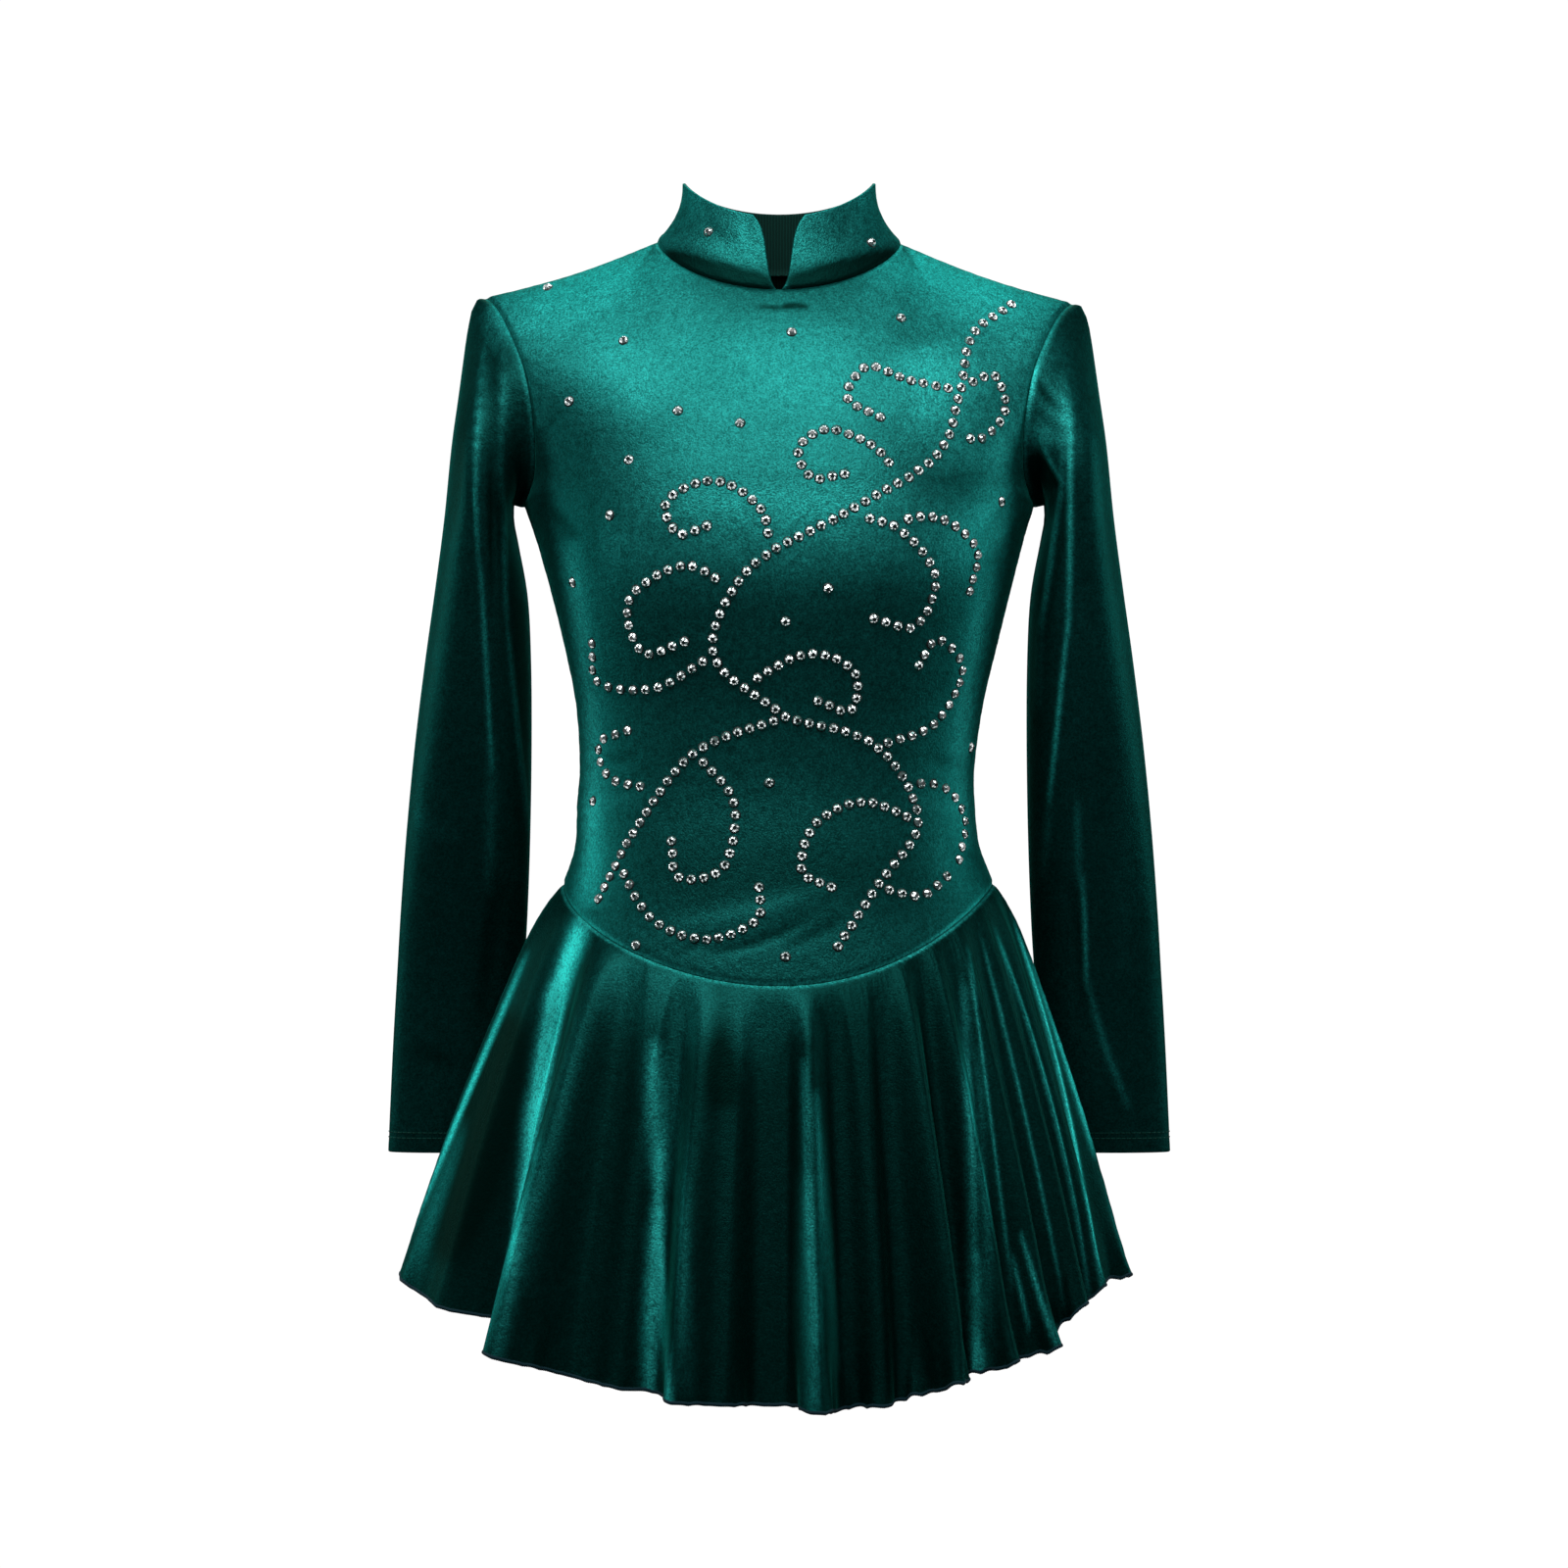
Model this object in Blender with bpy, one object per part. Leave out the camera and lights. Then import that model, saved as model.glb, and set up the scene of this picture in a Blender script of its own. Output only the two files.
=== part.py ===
"""A long-sleeved figure skating dress in stretch velvet, in its worn form with nobody in it.

Metres, +Z up. The front faces -Y and the wearer's left is +X. The origin lies between the two side
neck points, where the wearer's shoulders carry the dress.
"""

import bisect
import math
from collections import namedtuple

import bmesh
import bpy
from mathutils import Vector

WALL = 0.0016  # stretch velvet, ground and pile together
COLLAR_WALL = 0.0022  # the collar is a folded double band
SEAM_GAP = 0.0003  # what parts two pieces where they are sewn

# The side neck point, the shoulder tip and the underarm, on the wearer's left.
NECK_SIDE = Vector((0.077, 0.0, 0.0015))
SHOULDER_TIP = Vector((0.185, 0.004, -0.035))
SHOULDER_SAG = 0.0032  # the shoulder seam dips this far under a straight line
SHOULDER_TILT = 0.0018  # the wearer's right tip is this much higher, and the left lower
NECK_FRONT = (-0.058, -0.034)  # y and z of the neck seam at the centre front
NECK_BACK = (0.062, -0.012)
NECK_DIP = 1.3  # how the neck seam falls from the side to the centre: 1 is a plain cosine

# Cells across each half panel. Front and back share the shoulder's, and the collar has the neck's.
NECK_CELLS = 6
SHOULDER_CELLS = 5
SIDE_CELLS = 12  # up the side seam
ARMHOLE_CELLS = 9  # up each half of the armhole
NECK_SHARE = NECK_CELLS / (NECK_CELLS + SHOULDER_CELLS)
TOP_SOFTENING = 0.14  # how widely the corner at the side neck point is eased below the seam
SECTION_FULLNESS = 0.9  # 1 is an ellipse, and less is squarer
UNDERARM_CORNER = 6  # how soon, in from the side seam, the turn into the armhole fades
SHOULDER_ROUNDING = 0.5  # how soon, out from the neck, the shoulder seam lies on a round form

# Levels of the body below the underarm, from the basque seam up. The side seam is shared by the
# front and the back, and the centre lines have their own depth and height.
Level = namedtuple("Level", "side_x side_z sway front_y front_z bust back_y back_z")
BODY = [
    Level(0.1355, -0.404, -0.0005, -0.110, -0.464, 0.000, 0.104, -0.438),
    Level(0.1270, -0.380, -0.0012, -0.102, -0.426, 0.000, 0.094, -0.404),
    Level(0.1248, -0.352, -0.0020, -0.094, -0.385, 0.000, 0.083, -0.369),
    Level(0.1240, -0.329, -0.0012, -0.089, -0.343, 0.000, 0.076, -0.333),
    Level(0.1278, -0.291, 0.0003, -0.092, -0.297, 0.000, 0.080, -0.293),
    Level(0.1358, -0.254, 0.0010, -0.101, -0.255, 0.002, 0.089, -0.254),
    Level(0.1450, -0.217, 0.0010, -0.1085, -0.215, 0.005, 0.098, -0.217),
    Level(0.1540, -0.184, 0.0005, -0.1105, -0.182, 0.007, 0.103, -0.182),
    Level(0.1600, -0.166, 0.0000, -0.106, -0.154, 0.006, 0.105, -0.154),
]

# Levels above the underarm. Each ends at the armhole, and sweep is the part of a half turn that it
# covers. top is how far the level has bent to the neck and shoulder line.
Chest = namedtuple("Chest", "edge_x edge_y edge_z sweep mid_y mid_z bust top")
FRONT_CHEST = [
    Chest(0.1530, -0.034, -0.146, 76, -0.0985, -0.128, 0.004, 0.00),
    Chest(0.1520, -0.050, -0.118, 66, -0.0905, -0.103, 0.002, 0.03),
    Chest(0.1555, -0.052, -0.088, 60, -0.0815, -0.079, 0.000, 0.14),
    Chest(0.1650, -0.036, -0.058, 62, -0.071, -0.056, 0.000, 0.45),
    Chest(0.1850, 0.004, -0.036, 64, -0.058, -0.034, 0.000, 1.00),
]
BACK_CHEST = [
    Chest(0.1575, 0.036, -0.146, 76, 0.106, -0.124, 0.000, 0.00),
    Chest(0.1590, 0.052, -0.118, 66, 0.104, -0.095, 0.000, 0.03),
    Chest(0.1620, 0.054, -0.088, 60, 0.098, -0.067, 0.000, 0.14),
    Chest(0.1700, 0.038, -0.058, 62, 0.086, -0.040, 0.000, 0.45),
    Chest(0.1850, 0.004, -0.036, 64, 0.062, -0.012, 0.000, 1.00),
]
BUST_X = 0.074  # from the centre front to the fullest point
BUST_SPREAD = 0.062
# How a level's height runs from the side to the centre, on the wearer's right and left: 1 is a plain
# cosine, and the seam lies a little askew.
LEVEL_CURVE = (1.2, 1.9)

# The sleeve first stands out from the armhole, and drops most over the shoulder.
HEAD_OUT = 0.0095
HEAD_DROP_AT_TIP = 0.010
HEAD_DROP_AT_UNDERARM = -0.0015

# Rings of a sleeve below its head, down to the cuff, on the wearer's left. The sleeve hangs empty,
# deep at the shoulder and nearly flat at the cuff, and falls behind the skirt's side fold.
Ring = namedtuple("Ring", "inner_x inner_z outer_x outer_z front_y back_y")
SLEEVE = [
    Ring(0.1690, -0.175, 0.2040, -0.112, -0.052, 0.058),
    Ring(0.1665, -0.188, 0.2110, -0.174, -0.047, 0.058),
    Ring(0.1605, -0.222, 0.2172, -0.218, -0.038, 0.057),
    Ring(0.1585, -0.264, 0.2240, -0.264, -0.029, 0.056),
    Ring(0.1585, -0.316, 0.2310, -0.316, -0.016, 0.057),
    Ring(0.1597, -0.370, 0.2370, -0.370, 0.000, 0.059),
    Ring(0.1618, -0.420, 0.2415, -0.420, 0.016, 0.062),
    Ring(0.1645, -0.460, 0.2445, -0.460, 0.028, 0.066),
    Ring(0.1695, -0.512, 0.2480, -0.512, 0.038, 0.070),
    Ring(0.1770, -0.578, 0.2515, -0.578, 0.046, 0.074),
]
SLEEVE_KNOTS = len(SLEEVE) + 1  # the last ring's place, counted from the armhole
SLEEVE_CELLS = 17
SLEEVE_SQUARENESS = 2.3  # 2 is an ellipse

# The stand collar, open in a notch at the centre front.
COLLAR_TOP_X = 0.0600
COLLAR_TOP_FRONT = (-0.049, 0.012)  # y and z
COLLAR_TOP_BACK = (0.056, 0.026)
COLLAR_TOP_SIDE_Z = 0.039
COLLAR_DIP = 1.2  # how the top edge falls from the sides to the front and back
COLLAR_HOLLOW = 2.4  # how sharply the band curves out on to the shoulder
NOTCH_FOOT = 0.0010  # half the notch's width at the neck seam
NOTCH_TOP = math.radians(15)  # and at the collar's top edge, as a turn about the neck
NOTCH_CURVE = (0.55, 8.0, 0.38)  # its rise at the foot and at the rounded corner, and their blend
COLLAR_CELLS = 4

# The skirt's fall below the basque seam and how far it has flared by there.
Fall = namedtuple("Fall", "down out")
SKIRT_FALL = [
    Fall(0.000, 0.0000),
    Fall(0.013, 0.0085),
    Fall(0.037, 0.0195),
    Fall(0.083, 0.0360),
    Fall(0.138, 0.0545),
    Fall(0.195, 0.0715),
    Fall(0.248, 0.0855),
]
FLARE_MIDDLE = 0.74  # the flare at the centre front and back, as a share of that table's
FLARE_RIGHT_SIDE = 1.06  # and on the wearer's right and left
FLARE_LEFT_SIDE = 0.92

# Ridges and valleys of the skirt at its hem, round from the centre front towards the wearer's
# left. turn is in degrees, out and drop in metres, and start is the share of the fall where the
# fold begins.
Fold = namedtuple("Fold", "turn out drop start")
FOLDS = [
    Fold(-176, 0.016, 0.000, 0.08),
    Fold(-167, -0.017, 0.003, 0.05),
    Fold(-158, 0.018, -0.002, 0.03),
    Fold(-149, -0.015, 0.003, 0.03),
    Fold(-140, 0.015, -0.003, 0.00),
    Fold(-131, 0.006, 0.000, 0.00),
    Fold(-113, -0.044, 0.006, 0.00),
    Fold(-85, 0.013, -0.004, 0.00),
    Fold(-75, -0.003, 0.004, 0.00),
    Fold(-64, -0.034, -0.002, 0.00),
    Fold(-47, 0.033, -0.003, 0.00),
    Fold(-38, -0.008, 0.005, 0.00),
    Fold(-31, -0.006, 0.004, 0.45),
    Fold(-25, -0.017, 0.003, 0.05),
    Fold(-17.5, 0.020, 0.001, 0.08),
    Fold(-10, 0.004, 0.001, 0.08),
    Fold(-3, -0.017, 0.002, 0.08),
    Fold(1, -0.017, 0.002, 0.08),
    Fold(7, 0.023, 0.003, 0.05),
    Fold(14, -0.016, 0.007, 0.08),
    Fold(20, -0.004, 0.008, 0.50),
    Fold(25, -0.014, 0.009, 0.10),
    Fold(32.5, 0.018, 0.002, 0.02),
    Fold(38, -0.017, 0.009, 0.00),
    Fold(43, 0.011, 0.004, 0.00),
    Fold(48, -0.011, 0.010, 0.00),
    Fold(53, 0.008, 0.009, 0.00),
    Fold(58.5, -0.014, 0.012, 0.00),
    Fold(64, 0.002, -0.005, 0.00),
    Fold(70, -0.017, 0.009, 0.00),
    Fold(76, -0.003, -0.003, 0.00),
    Fold(82, -0.010, 0.001, 0.00),
    Fold(88, 0.007, 0.000, 0.00),
    Fold(113, -0.044, 0.006, 0.00),
    Fold(131, 0.010, -0.002, 0.00),
    Fold(141, -0.012, 0.003, 0.00),
    Fold(151, 0.018, -0.003, 0.03),
    Fold(160, -0.015, 0.002, 0.05),
    Fold(168, 0.016, 0.000, 0.05),
    Fold(176, -0.015, 0.004, 0.06),
]
FOLD_GROWTH = 1.15  # how a fold deepens down the skirt: 1 is straight
FOLD_CREST = 1.5  # how much narrower a ridge is than a valley: 1 makes them alike
CELLS_A_FOLD = 3  # columns from a ridge to the next valley
SKIRT_CELLS = 8  # down the skirt

VELVET_GREEN = (0.003, 0.095, 0.078, 1.0)
VELVET_ROUGHNESS = 0.55
STEP = 0.004  # the share of a panel over which a slope is read
TINY = 1e-6
MITRE_LIMIT = 0.6  # a wall grows no thicker than this allows where two pieces meet at an angle
SHARP_EDGE = math.radians(50)


def clear_scene():
    for found in list(bpy.data.objects):
        bpy.data.objects.remove(found)


def velvet():
    """The one cloth of the dress."""
    material = bpy.data.materials.new("velvet")
    material.use_nodes = True
    shader = material.node_tree.nodes["Principled BSDF"]
    shader.inputs["Base Color"].default_value = VELVET_GREEN
    shader.inputs["Roughness"].default_value = VELVET_ROUGHNESS
    shader.inputs["Metallic"].default_value = 0.0
    return material


def between(low, high, share):
    return low + (high - low) * share


def knots_at(knots, place):
    """The knot cell of a place counted from the first knot, and the four knots that shape it."""
    last = len(knots) - 1
    cell = min(max(int(place), 0), last - 1)
    before = knots[cell - 1] if cell else knots[0] * 2 - knots[1]
    after = knots[cell + 2] if cell + 2 <= last else knots[last] * 2 - knots[last - 1]
    return cell, [before, knots[cell], knots[cell + 1], after]


def bend(before, start, end, after, t):
    """A smooth curve from the start to the end, at a share t of the way."""
    return (
        start * 2
        + (end - before) * t
        + (before * 2 - start * 5 + end * 4 - after) * t**2
        + (start * 3 - before - end * 3 + after) * t**3
    ) / 2


def spline(knots, place):
    """A smooth curve through the knots, at a place counted in knots from the first."""
    cell, four = knots_at(knots, place)
    return bend(*four, place - cell)


def top_edge(across, neck):
    """The upper edge of a panel: the neck seam from the centre out, then the shoulder seam."""
    side = math.copysign(1, across)
    reach = abs(across)
    if reach <= NECK_SHARE:
        turn = math.pi / 2 * reach / NECK_SHARE
        point = Vector(
            (
                NECK_SIDE.x * math.sin(turn),
                between(NECK_SIDE.y, neck[0], math.cos(turn)),
                between(NECK_SIDE.z, neck[1], abs(math.cos(turn)) ** NECK_DIP),
            )
        )
    else:
        run = (reach - NECK_SHARE) / (1 - NECK_SHARE)
        point = NECK_SIDE.lerp(SHOULDER_TIP, run)
        point.z -= SHOULDER_SAG * math.sin(math.pi * min(run, 1))
    point.x *= side
    return point


def eased_top_edge(across, neck, spread):
    """The upper edge with its corner at the side neck point rounded over a spread."""
    samples = [top_edge(across + spread * k / 3, neck) for k in range(-3, 4)]
    return sum(samples, Vector()) / len(samples)


def level_point(row, across, neck):
    """A point of one level: across is -1 at one edge, 0 at the centre line and 1 at the other."""
    sweep = math.radians(row.sweep)
    turn = across * sweep
    x = row.edge_x * math.sin(turn) / math.sin(sweep)
    inward = max(0.0, (math.cos(turn) - math.cos(sweep)) / (1 - math.cos(sweep)))
    depth = inward**SECTION_FULLNESS
    z = between(row.edge_z, row.mid_z, inward ** between(*LEVEL_CURVE, (1 + across) / 2))
    point = Vector((x, between(row.edge_y, row.mid_y, depth), z))
    if row.bust:
        away = (abs(x) - BUST_X) / BUST_SPREAD
        point.y -= row.bust * math.exp(-(away**2)) * min(1.0, inward * 3)
    if row.top:
        spread = TOP_SOFTENING * (1 - row.top)
        point = point.lerp(eased_top_edge(across, neck, spread), row.top)
        point.z -= SHOULDER_TILT * row.top * across * abs(across)
    return point


def panel_levels(front):
    """The levels of the front or back panel, from the basque seam to the neck and shoulder."""
    rows = []
    for level in BODY:
        mid = (level.front_y, level.front_z) if front else (level.back_y, level.back_z)
        bust = level.bust if front else 0
        row = Chest(level.side_x, 0, level.side_z, 90, mid[0], mid[1], bust, 0)
        rows.append((row, level.sway))
    rows += [(row, 0) for row in (FRONT_CHEST if front else BACK_CHEST)]
    return rows


UNDERARM = len(BODY) - 1  # the level where the side seam ends and the armhole begins
TOP = UNDERARM + len(FRONT_CHEST)
FRONT_LEVELS = panel_levels(True)
BACK_LEVELS = panel_levels(False)


def bodice(across, up, front):
    """The bodice's surface: across from edge to edge, up counted in levels."""
    levels, others = (FRONT_LEVELS, BACK_LEVELS) if front else (BACK_LEVELS, FRONT_LEVELS)
    neck = NECK_FRONT if front else NECK_BACK
    knots = [level_point(row, across, neck) + Vector((sway, 0, 0)) for row, sway in levels]
    cell, four = knots_at(knots, up)
    corner = abs(across) ** UNDERARM_CORNER
    if cell == UNDERARM - 1:
        four[3] = four[3].lerp(four[2] * 2 - four[1], corner)
    if cell == UNDERARM:
        across_the_underarm = level_point(others[UNDERARM + 1][0], across, neck)
        four[0] = four[0].lerp(across_the_underarm, corner)
    if cell == TOP - 1:
        over_the_shoulder = level_point(others[TOP - 1][0], across, neck)
        out_from_neck = max(0.0, (abs(across) - NECK_SHARE) / (1 - NECK_SHARE))
        four[3] = four[3].lerp(over_the_shoulder, out_from_neck**SHOULDER_ROUNDING)
    return bend(*four, up - cell)


def armhole(side, round_it):
    """The armhole seam: 0 at the underarm, 1 at the shoulder tip by the front, 2 back again."""
    if round_it <= 1:
        return bodice(side, UNDERARM + round_it * (TOP - UNDERARM), True)
    return bodice(side, TOP - (round_it - 1) * (TOP - UNDERARM), False)


def rounded(value, squareness):
    return math.copysign(abs(value) ** (2 / squareness), value)


def sleeve(side, round_it, down):
    """A sleeve's surface: round_it as on the armhole, down counted in knots from the armhole."""
    turn = math.pi * round_it
    inward = rounded(math.cos(turn), SLEEVE_SQUARENESS)
    forward = rounded(math.sin(turn), SLEEVE_SQUARENESS)
    seam = armhole(side, round_it)
    drop = between(HEAD_DROP_AT_UNDERARM, HEAD_DROP_AT_TIP, (1 - math.cos(turn)) / 2)
    knots = [seam, seam + Vector((side * HEAD_OUT, 0, -drop))]
    for ring in SLEEVE:
        knots.append(
            Vector(
                (
                    side * between(ring.outer_x, ring.inner_x, (1 + inward) / 2),
                    between(ring.back_y, ring.front_y, (1 + forward) / 2),
                    between(ring.outer_z, ring.inner_z, (1 + inward) / 2),
                )
            )
        )
    return spline(knots, down)


def neck_seam(turn):
    """The neck seam by its turn in radians: 0 at the centre front, pi at the centre back."""
    front = abs(turn) <= math.pi / 2
    reach = abs(turn) if front else math.pi - abs(turn)
    across = math.copysign(reach / (math.pi / 2) * NECK_SHARE, turn)
    return bodice(across, TOP, front)


def collar(turn, up):
    """The collar's surface: turn as on the neck seam, up from 0 at the seam to 1 at the edge."""
    at_foot, at_corner, blend = NOTCH_CURVE
    opening = NOTCH_TOP * between(up**at_foot, up**at_corner, blend)
    turn += math.copysign(opening * (1 - abs(turn) / math.pi), turn)
    foot = neck_seam(turn)
    face = abs(math.cos(turn))
    y, z = COLLAR_TOP_FRONT if abs(turn) <= math.pi / 2 else COLLAR_TOP_BACK
    rise = between(COLLAR_TOP_SIDE_Z, z, face**COLLAR_DIP)
    edge = Vector((COLLAR_TOP_X * math.sin(turn), y * face, rise))
    point = foot.lerp(edge, up)
    tuck = 1 - (1 - up) ** COLLAR_HOLLOW
    point.x = between(foot.x, edge.x, tuck)
    point.y = between(foot.y, edge.y, between(up, tuck, 0.4))
    return point


def basque(turn):
    """The seam of bodice and skirt, by its turn in radians from the centre front."""
    front = abs(turn) <= math.pi / 2
    reach = abs(turn) if front else math.pi - abs(turn)
    return bodice(math.copysign(reach / (math.pi / 2), turn), 0, front)


def fold_at(turn, down):
    """How far a fold moves the skirt out and down, at a turn and a share of its fall."""
    degrees = math.degrees(turn)
    turns = [fold.turn for fold in FOLDS]
    after = bisect.bisect(turns, degrees) % len(FOLDS)
    first, second = FOLDS[after - 1], FOLDS[after]
    share = ((degrees - first.turn) % 360) / ((second.turn - first.turn) % 360)
    eased = (1 - math.cos(math.pi * share)) / 2
    rising = second.out > first.out
    eased = eased**FOLD_CREST if rising else 1 - (1 - eased) ** FOLD_CREST
    start = between(first.start, second.start, eased)
    grown = max(0.0, (down - start) / (1 - start)) ** FOLD_GROWTH
    return between(first.out, second.out, eased) * grown, between(first.drop, second.drop, eased) * grown


def skirt(turn, down):
    """The skirt's surface: turn in radians from the centre front, down as a share of its fall."""
    seam = basque(turn)
    fall = spline([Vector(row) for row in SKIRT_FALL], down * (len(SKIRT_FALL) - 1))
    deep = abs(BODY[0].front_y if abs(turn) <= math.pi / 2 else BODY[0].back_y)
    outward = Vector((math.sin(turn) / BODY[0].side_x, -math.cos(turn) / deep, 0)).normalized()
    to_left = math.sin(turn)
    side_flare = FLARE_LEFT_SIDE if to_left > 0 else FLARE_RIGHT_SIDE
    flare = between(FLARE_MIDDLE, side_flare, to_left**2)
    out, drop = fold_at(turn, down)
    return seam + outward * (fall.y * flare + out) - Vector((0, 0, fall.x + drop))


def normal_of(surface, first, second, first_range, second_range):
    """The surface's unit normal, from slopes that stay inside its ranges."""

    def slope(value, limits, at):
        step = STEP * (limits[1] - limits[0])
        return at(min(value + step, limits[1])) - at(max(value - step, limits[0]))

    along = slope(first, first_range, lambda value: surface(value, second))
    beyond = slope(second, second_range, lambda value: surface(first, value))
    return along.cross(beyond).normalized()


def drawn_in(points, normals, edges, tube=False):
    """Moves the named edges of a grid half a seam's gap into the piece, square to each seam."""
    rows, columns = len(points), len(points[0])
    row, column = rows // 2, columns // 2
    corner = points[row][column]
    crossed = (points[row][column + 1] - corner).cross(points[row + 1][column] - corner)
    hand = math.copysign(1, crossed.dot(normals[row][column]))
    paths = {
        "first_row": ([(0, j) for j in range(columns)], hand),
        "last_row": ([(rows - 1, j) for j in range(columns)], -hand),
        "first_column": ([(i, 0) for i in range(rows)], -hand),
        "last_column": ([(i, columns - 1) for i in range(rows)], hand),
    }
    moved = [list(line) for line in points]
    for edge in edges:
        path, side = paths[edge]
        last = len(path) - 1
        for k, (i, j) in enumerate(path):
            before = path[k - 1] if k or tube else path[0]
            after = path[k + 1] if k < last else path[0 if tube else last]
            tangent = points[after[0]][after[1]] - points[before[0]][before[1]]
            inward = normals[i][j].cross(tangent).normalized() * side
            moved[i][j] = moved[i][j] + inward * SEAM_GAP / 2
    return moved


def walls(normals, shared, wall=WALL):
    """Half the wall as a vector at each point of a grid: mitred where the edge is sewn."""
    offsets = []
    for own_row, shared_row in zip(normals, shared):
        offsets.append([])
        for own, mitre in zip(own_row, shared_row):
            along = mitre or own
            offsets[-1].append(along * wall / 2 / max(MITRE_LIMIT, along.dot(own)))
    return offsets


def cloth(name, points, offsets, material, tube=False):
    """A closed wall of cloth about a grid of points. A tube's last column meets its first."""
    mesh = bmesh.new()
    rows, columns = len(points), len(points[0])
    outer = [[mesh.verts.new(p + half) for p, half in zip(*line)] for line in zip(points, offsets)]
    inner = [[mesh.verts.new(p - half) for p, half in zip(*line)] for line in zip(points, offsets)]
    cells = columns if tube else columns - 1

    def two_triangles(a, b, c, d):
        mesh.faces.new((a, b, c))
        mesh.faces.new((a, c, d))

    for i in range(rows - 1):
        for j in range(cells):
            k = (j + 1) % columns
            for side in (outer, inner):
                two_triangles(side[i][j], side[i][k], side[i + 1][k], side[i + 1][j])
    for j in range(cells):
        k = (j + 1) % columns
        for i in (0, rows - 1):
            two_triangles(outer[i][j], outer[i][k], inner[i][k], inner[i][j])
    if not tube:
        for i in range(rows - 1):
            for j in (0, columns - 1):
                two_triangles(outer[i][j], outer[i + 1][j], inner[i + 1][j], inner[i][j])
    bmesh.ops.recalc_face_normals(mesh, faces=mesh.faces)
    data = bpy.data.meshes.new(name)
    mesh.to_mesh(data)
    mesh.free()
    data.shade_smooth()
    data.set_sharp_from_angle(angle=SHARP_EDGE)
    piece = bpy.data.objects.new(name, data)
    bpy.context.scene.collection.objects.link(piece)
    piece.data.materials.append(material)
    return piece


def panel_ups():
    """Where the bodice's rows lie, in levels: the side seam's cells, then the armhole's."""
    below = [UNDERARM * i / SIDE_CELLS for i in range(SIDE_CELLS)]
    above = [between(UNDERARM, TOP, i / ARMHOLE_CELLS) for i in range(ARMHOLE_CELLS + 1)]
    return below + above


def bodice_normal(across, up, front):
    """The bodice's outward normal."""
    found = normal_of(lambda a, b: bodice(a, b, front), across, up, (-1, 1), (0, TOP))
    return found if front else -found


def sleeve_normal(side, round_it, down):
    """A sleeve's outward normal. Round the tube its slope is read across the seam at 0 and 2."""
    step = STEP * 2
    along = sleeve(side, (round_it + step) % 2, down) - sleeve(side, (round_it - step) % 2, down)
    step = STEP * SLEEVE_KNOTS
    lower = sleeve(side, round_it, min(down + step, SLEEVE_KNOTS))
    beyond = lower - sleeve(side, round_it, max(down - step, 0))
    return beyond.cross(along).normalized() * side


def collar_normal(turn, up):
    """The collar's outward normal, with each half of the band read on its own."""
    limits = (STEP, math.pi) if turn > 0 else (-math.pi, -STEP)
    return normal_of(collar, turn, up, limits, (0, 1))


def skirt_normal(turn, down):
    """The skirt's outward normal."""
    return -normal_of(skirt, turn, down, (-math.pi - 1, math.pi + 1), (0, 1))


def seam_normal(across, up, front):
    """Along a bodice panel's edge, the one direction that the walls of all sewn pieces share."""
    sewn = [bodice_normal(across, up, front)]
    at_side = abs(across) > 1 - TINY
    at_top = up > TOP - TINY
    turn = across * math.pi / 2
    if (at_side and up < UNDERARM + TINY) or (at_top and abs(across) > NECK_SHARE - TINY):
        sewn.append(bodice_normal(across, up, not front))
    if at_side and up > UNDERARM - TINY:
        climb = (up - UNDERARM) / (TOP - UNDERARM)
        sewn.append(sleeve_normal(across, climb if front else 2 - climb, 0))
    if up < TINY:
        sewn.append(skirt_normal(turn if front else math.copysign(math.pi, turn) - turn, 0))
    if at_top and abs(across) < NECK_SHARE + TINY:
        turn /= NECK_SHARE
        sewn.append(collar_normal(turn if front else math.copysign(math.pi, turn) - turn, 0))
    return sum(sewn, Vector()).normalized()


def panel_place(turn):
    """The panel that lies at a turn round the body, and the place across it."""
    front = abs(turn) <= math.pi / 2 + TINY
    reach = abs(turn) if front else math.pi - abs(turn)
    return math.copysign(min(1, reach / (math.pi / 2)), turn), front


def make_bodice(front, material):
    """The front or back panel, from the basque seam to the neck, shoulders and armholes."""
    half = NECK_CELLS + SHOULDER_CELLS
    acrosses = [j / half for j in range(-half, half + 1)]
    ups = panel_ups()
    points = [[bodice(across, up, front) for across in acrosses] for up in ups]
    normals = [[bodice_normal(across, up, front) for across in acrosses] for up in ups]
    shared = [[None] * len(acrosses) for _ in ups]
    for i, up in enumerate(ups):
        for j, across in enumerate(acrosses):
            if i in (0, len(ups) - 1) or j in (0, len(acrosses) - 1):
                shared[i][j] = seam_normal(across, up, front)
    edges = ("first_row", "last_row", "first_column", "last_column")
    name = "bodice_front" if front else "bodice_back"
    return cloth(name, drawn_in(points, normals, edges), walls(normals, shared), material)


def make_sleeve(side, name, material):
    """One sleeve, a tube from the armhole to the cuff."""
    around = [j / ARMHOLE_CELLS for j in range(2 * ARMHOLE_CELLS)]
    downs = [SLEEVE_KNOTS * i / SLEEVE_CELLS for i in range(SLEEVE_CELLS + 1)]
    points = [[sleeve(side, a, down) for a in around] for down in downs]
    normals = [[sleeve_normal(side, a, down) for a in around] for down in downs]
    shared = [[None] * len(around) for _ in downs]
    for j, a in enumerate(around):
        front = a <= 1
        shared[0][j] = seam_normal(side, between(UNDERARM, TOP, a if front else 2 - a), front)
    points = drawn_in(points, normals, ("first_row",), tube=True)
    return cloth(name, points, walls(normals, shared), material, tube=True)


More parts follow.
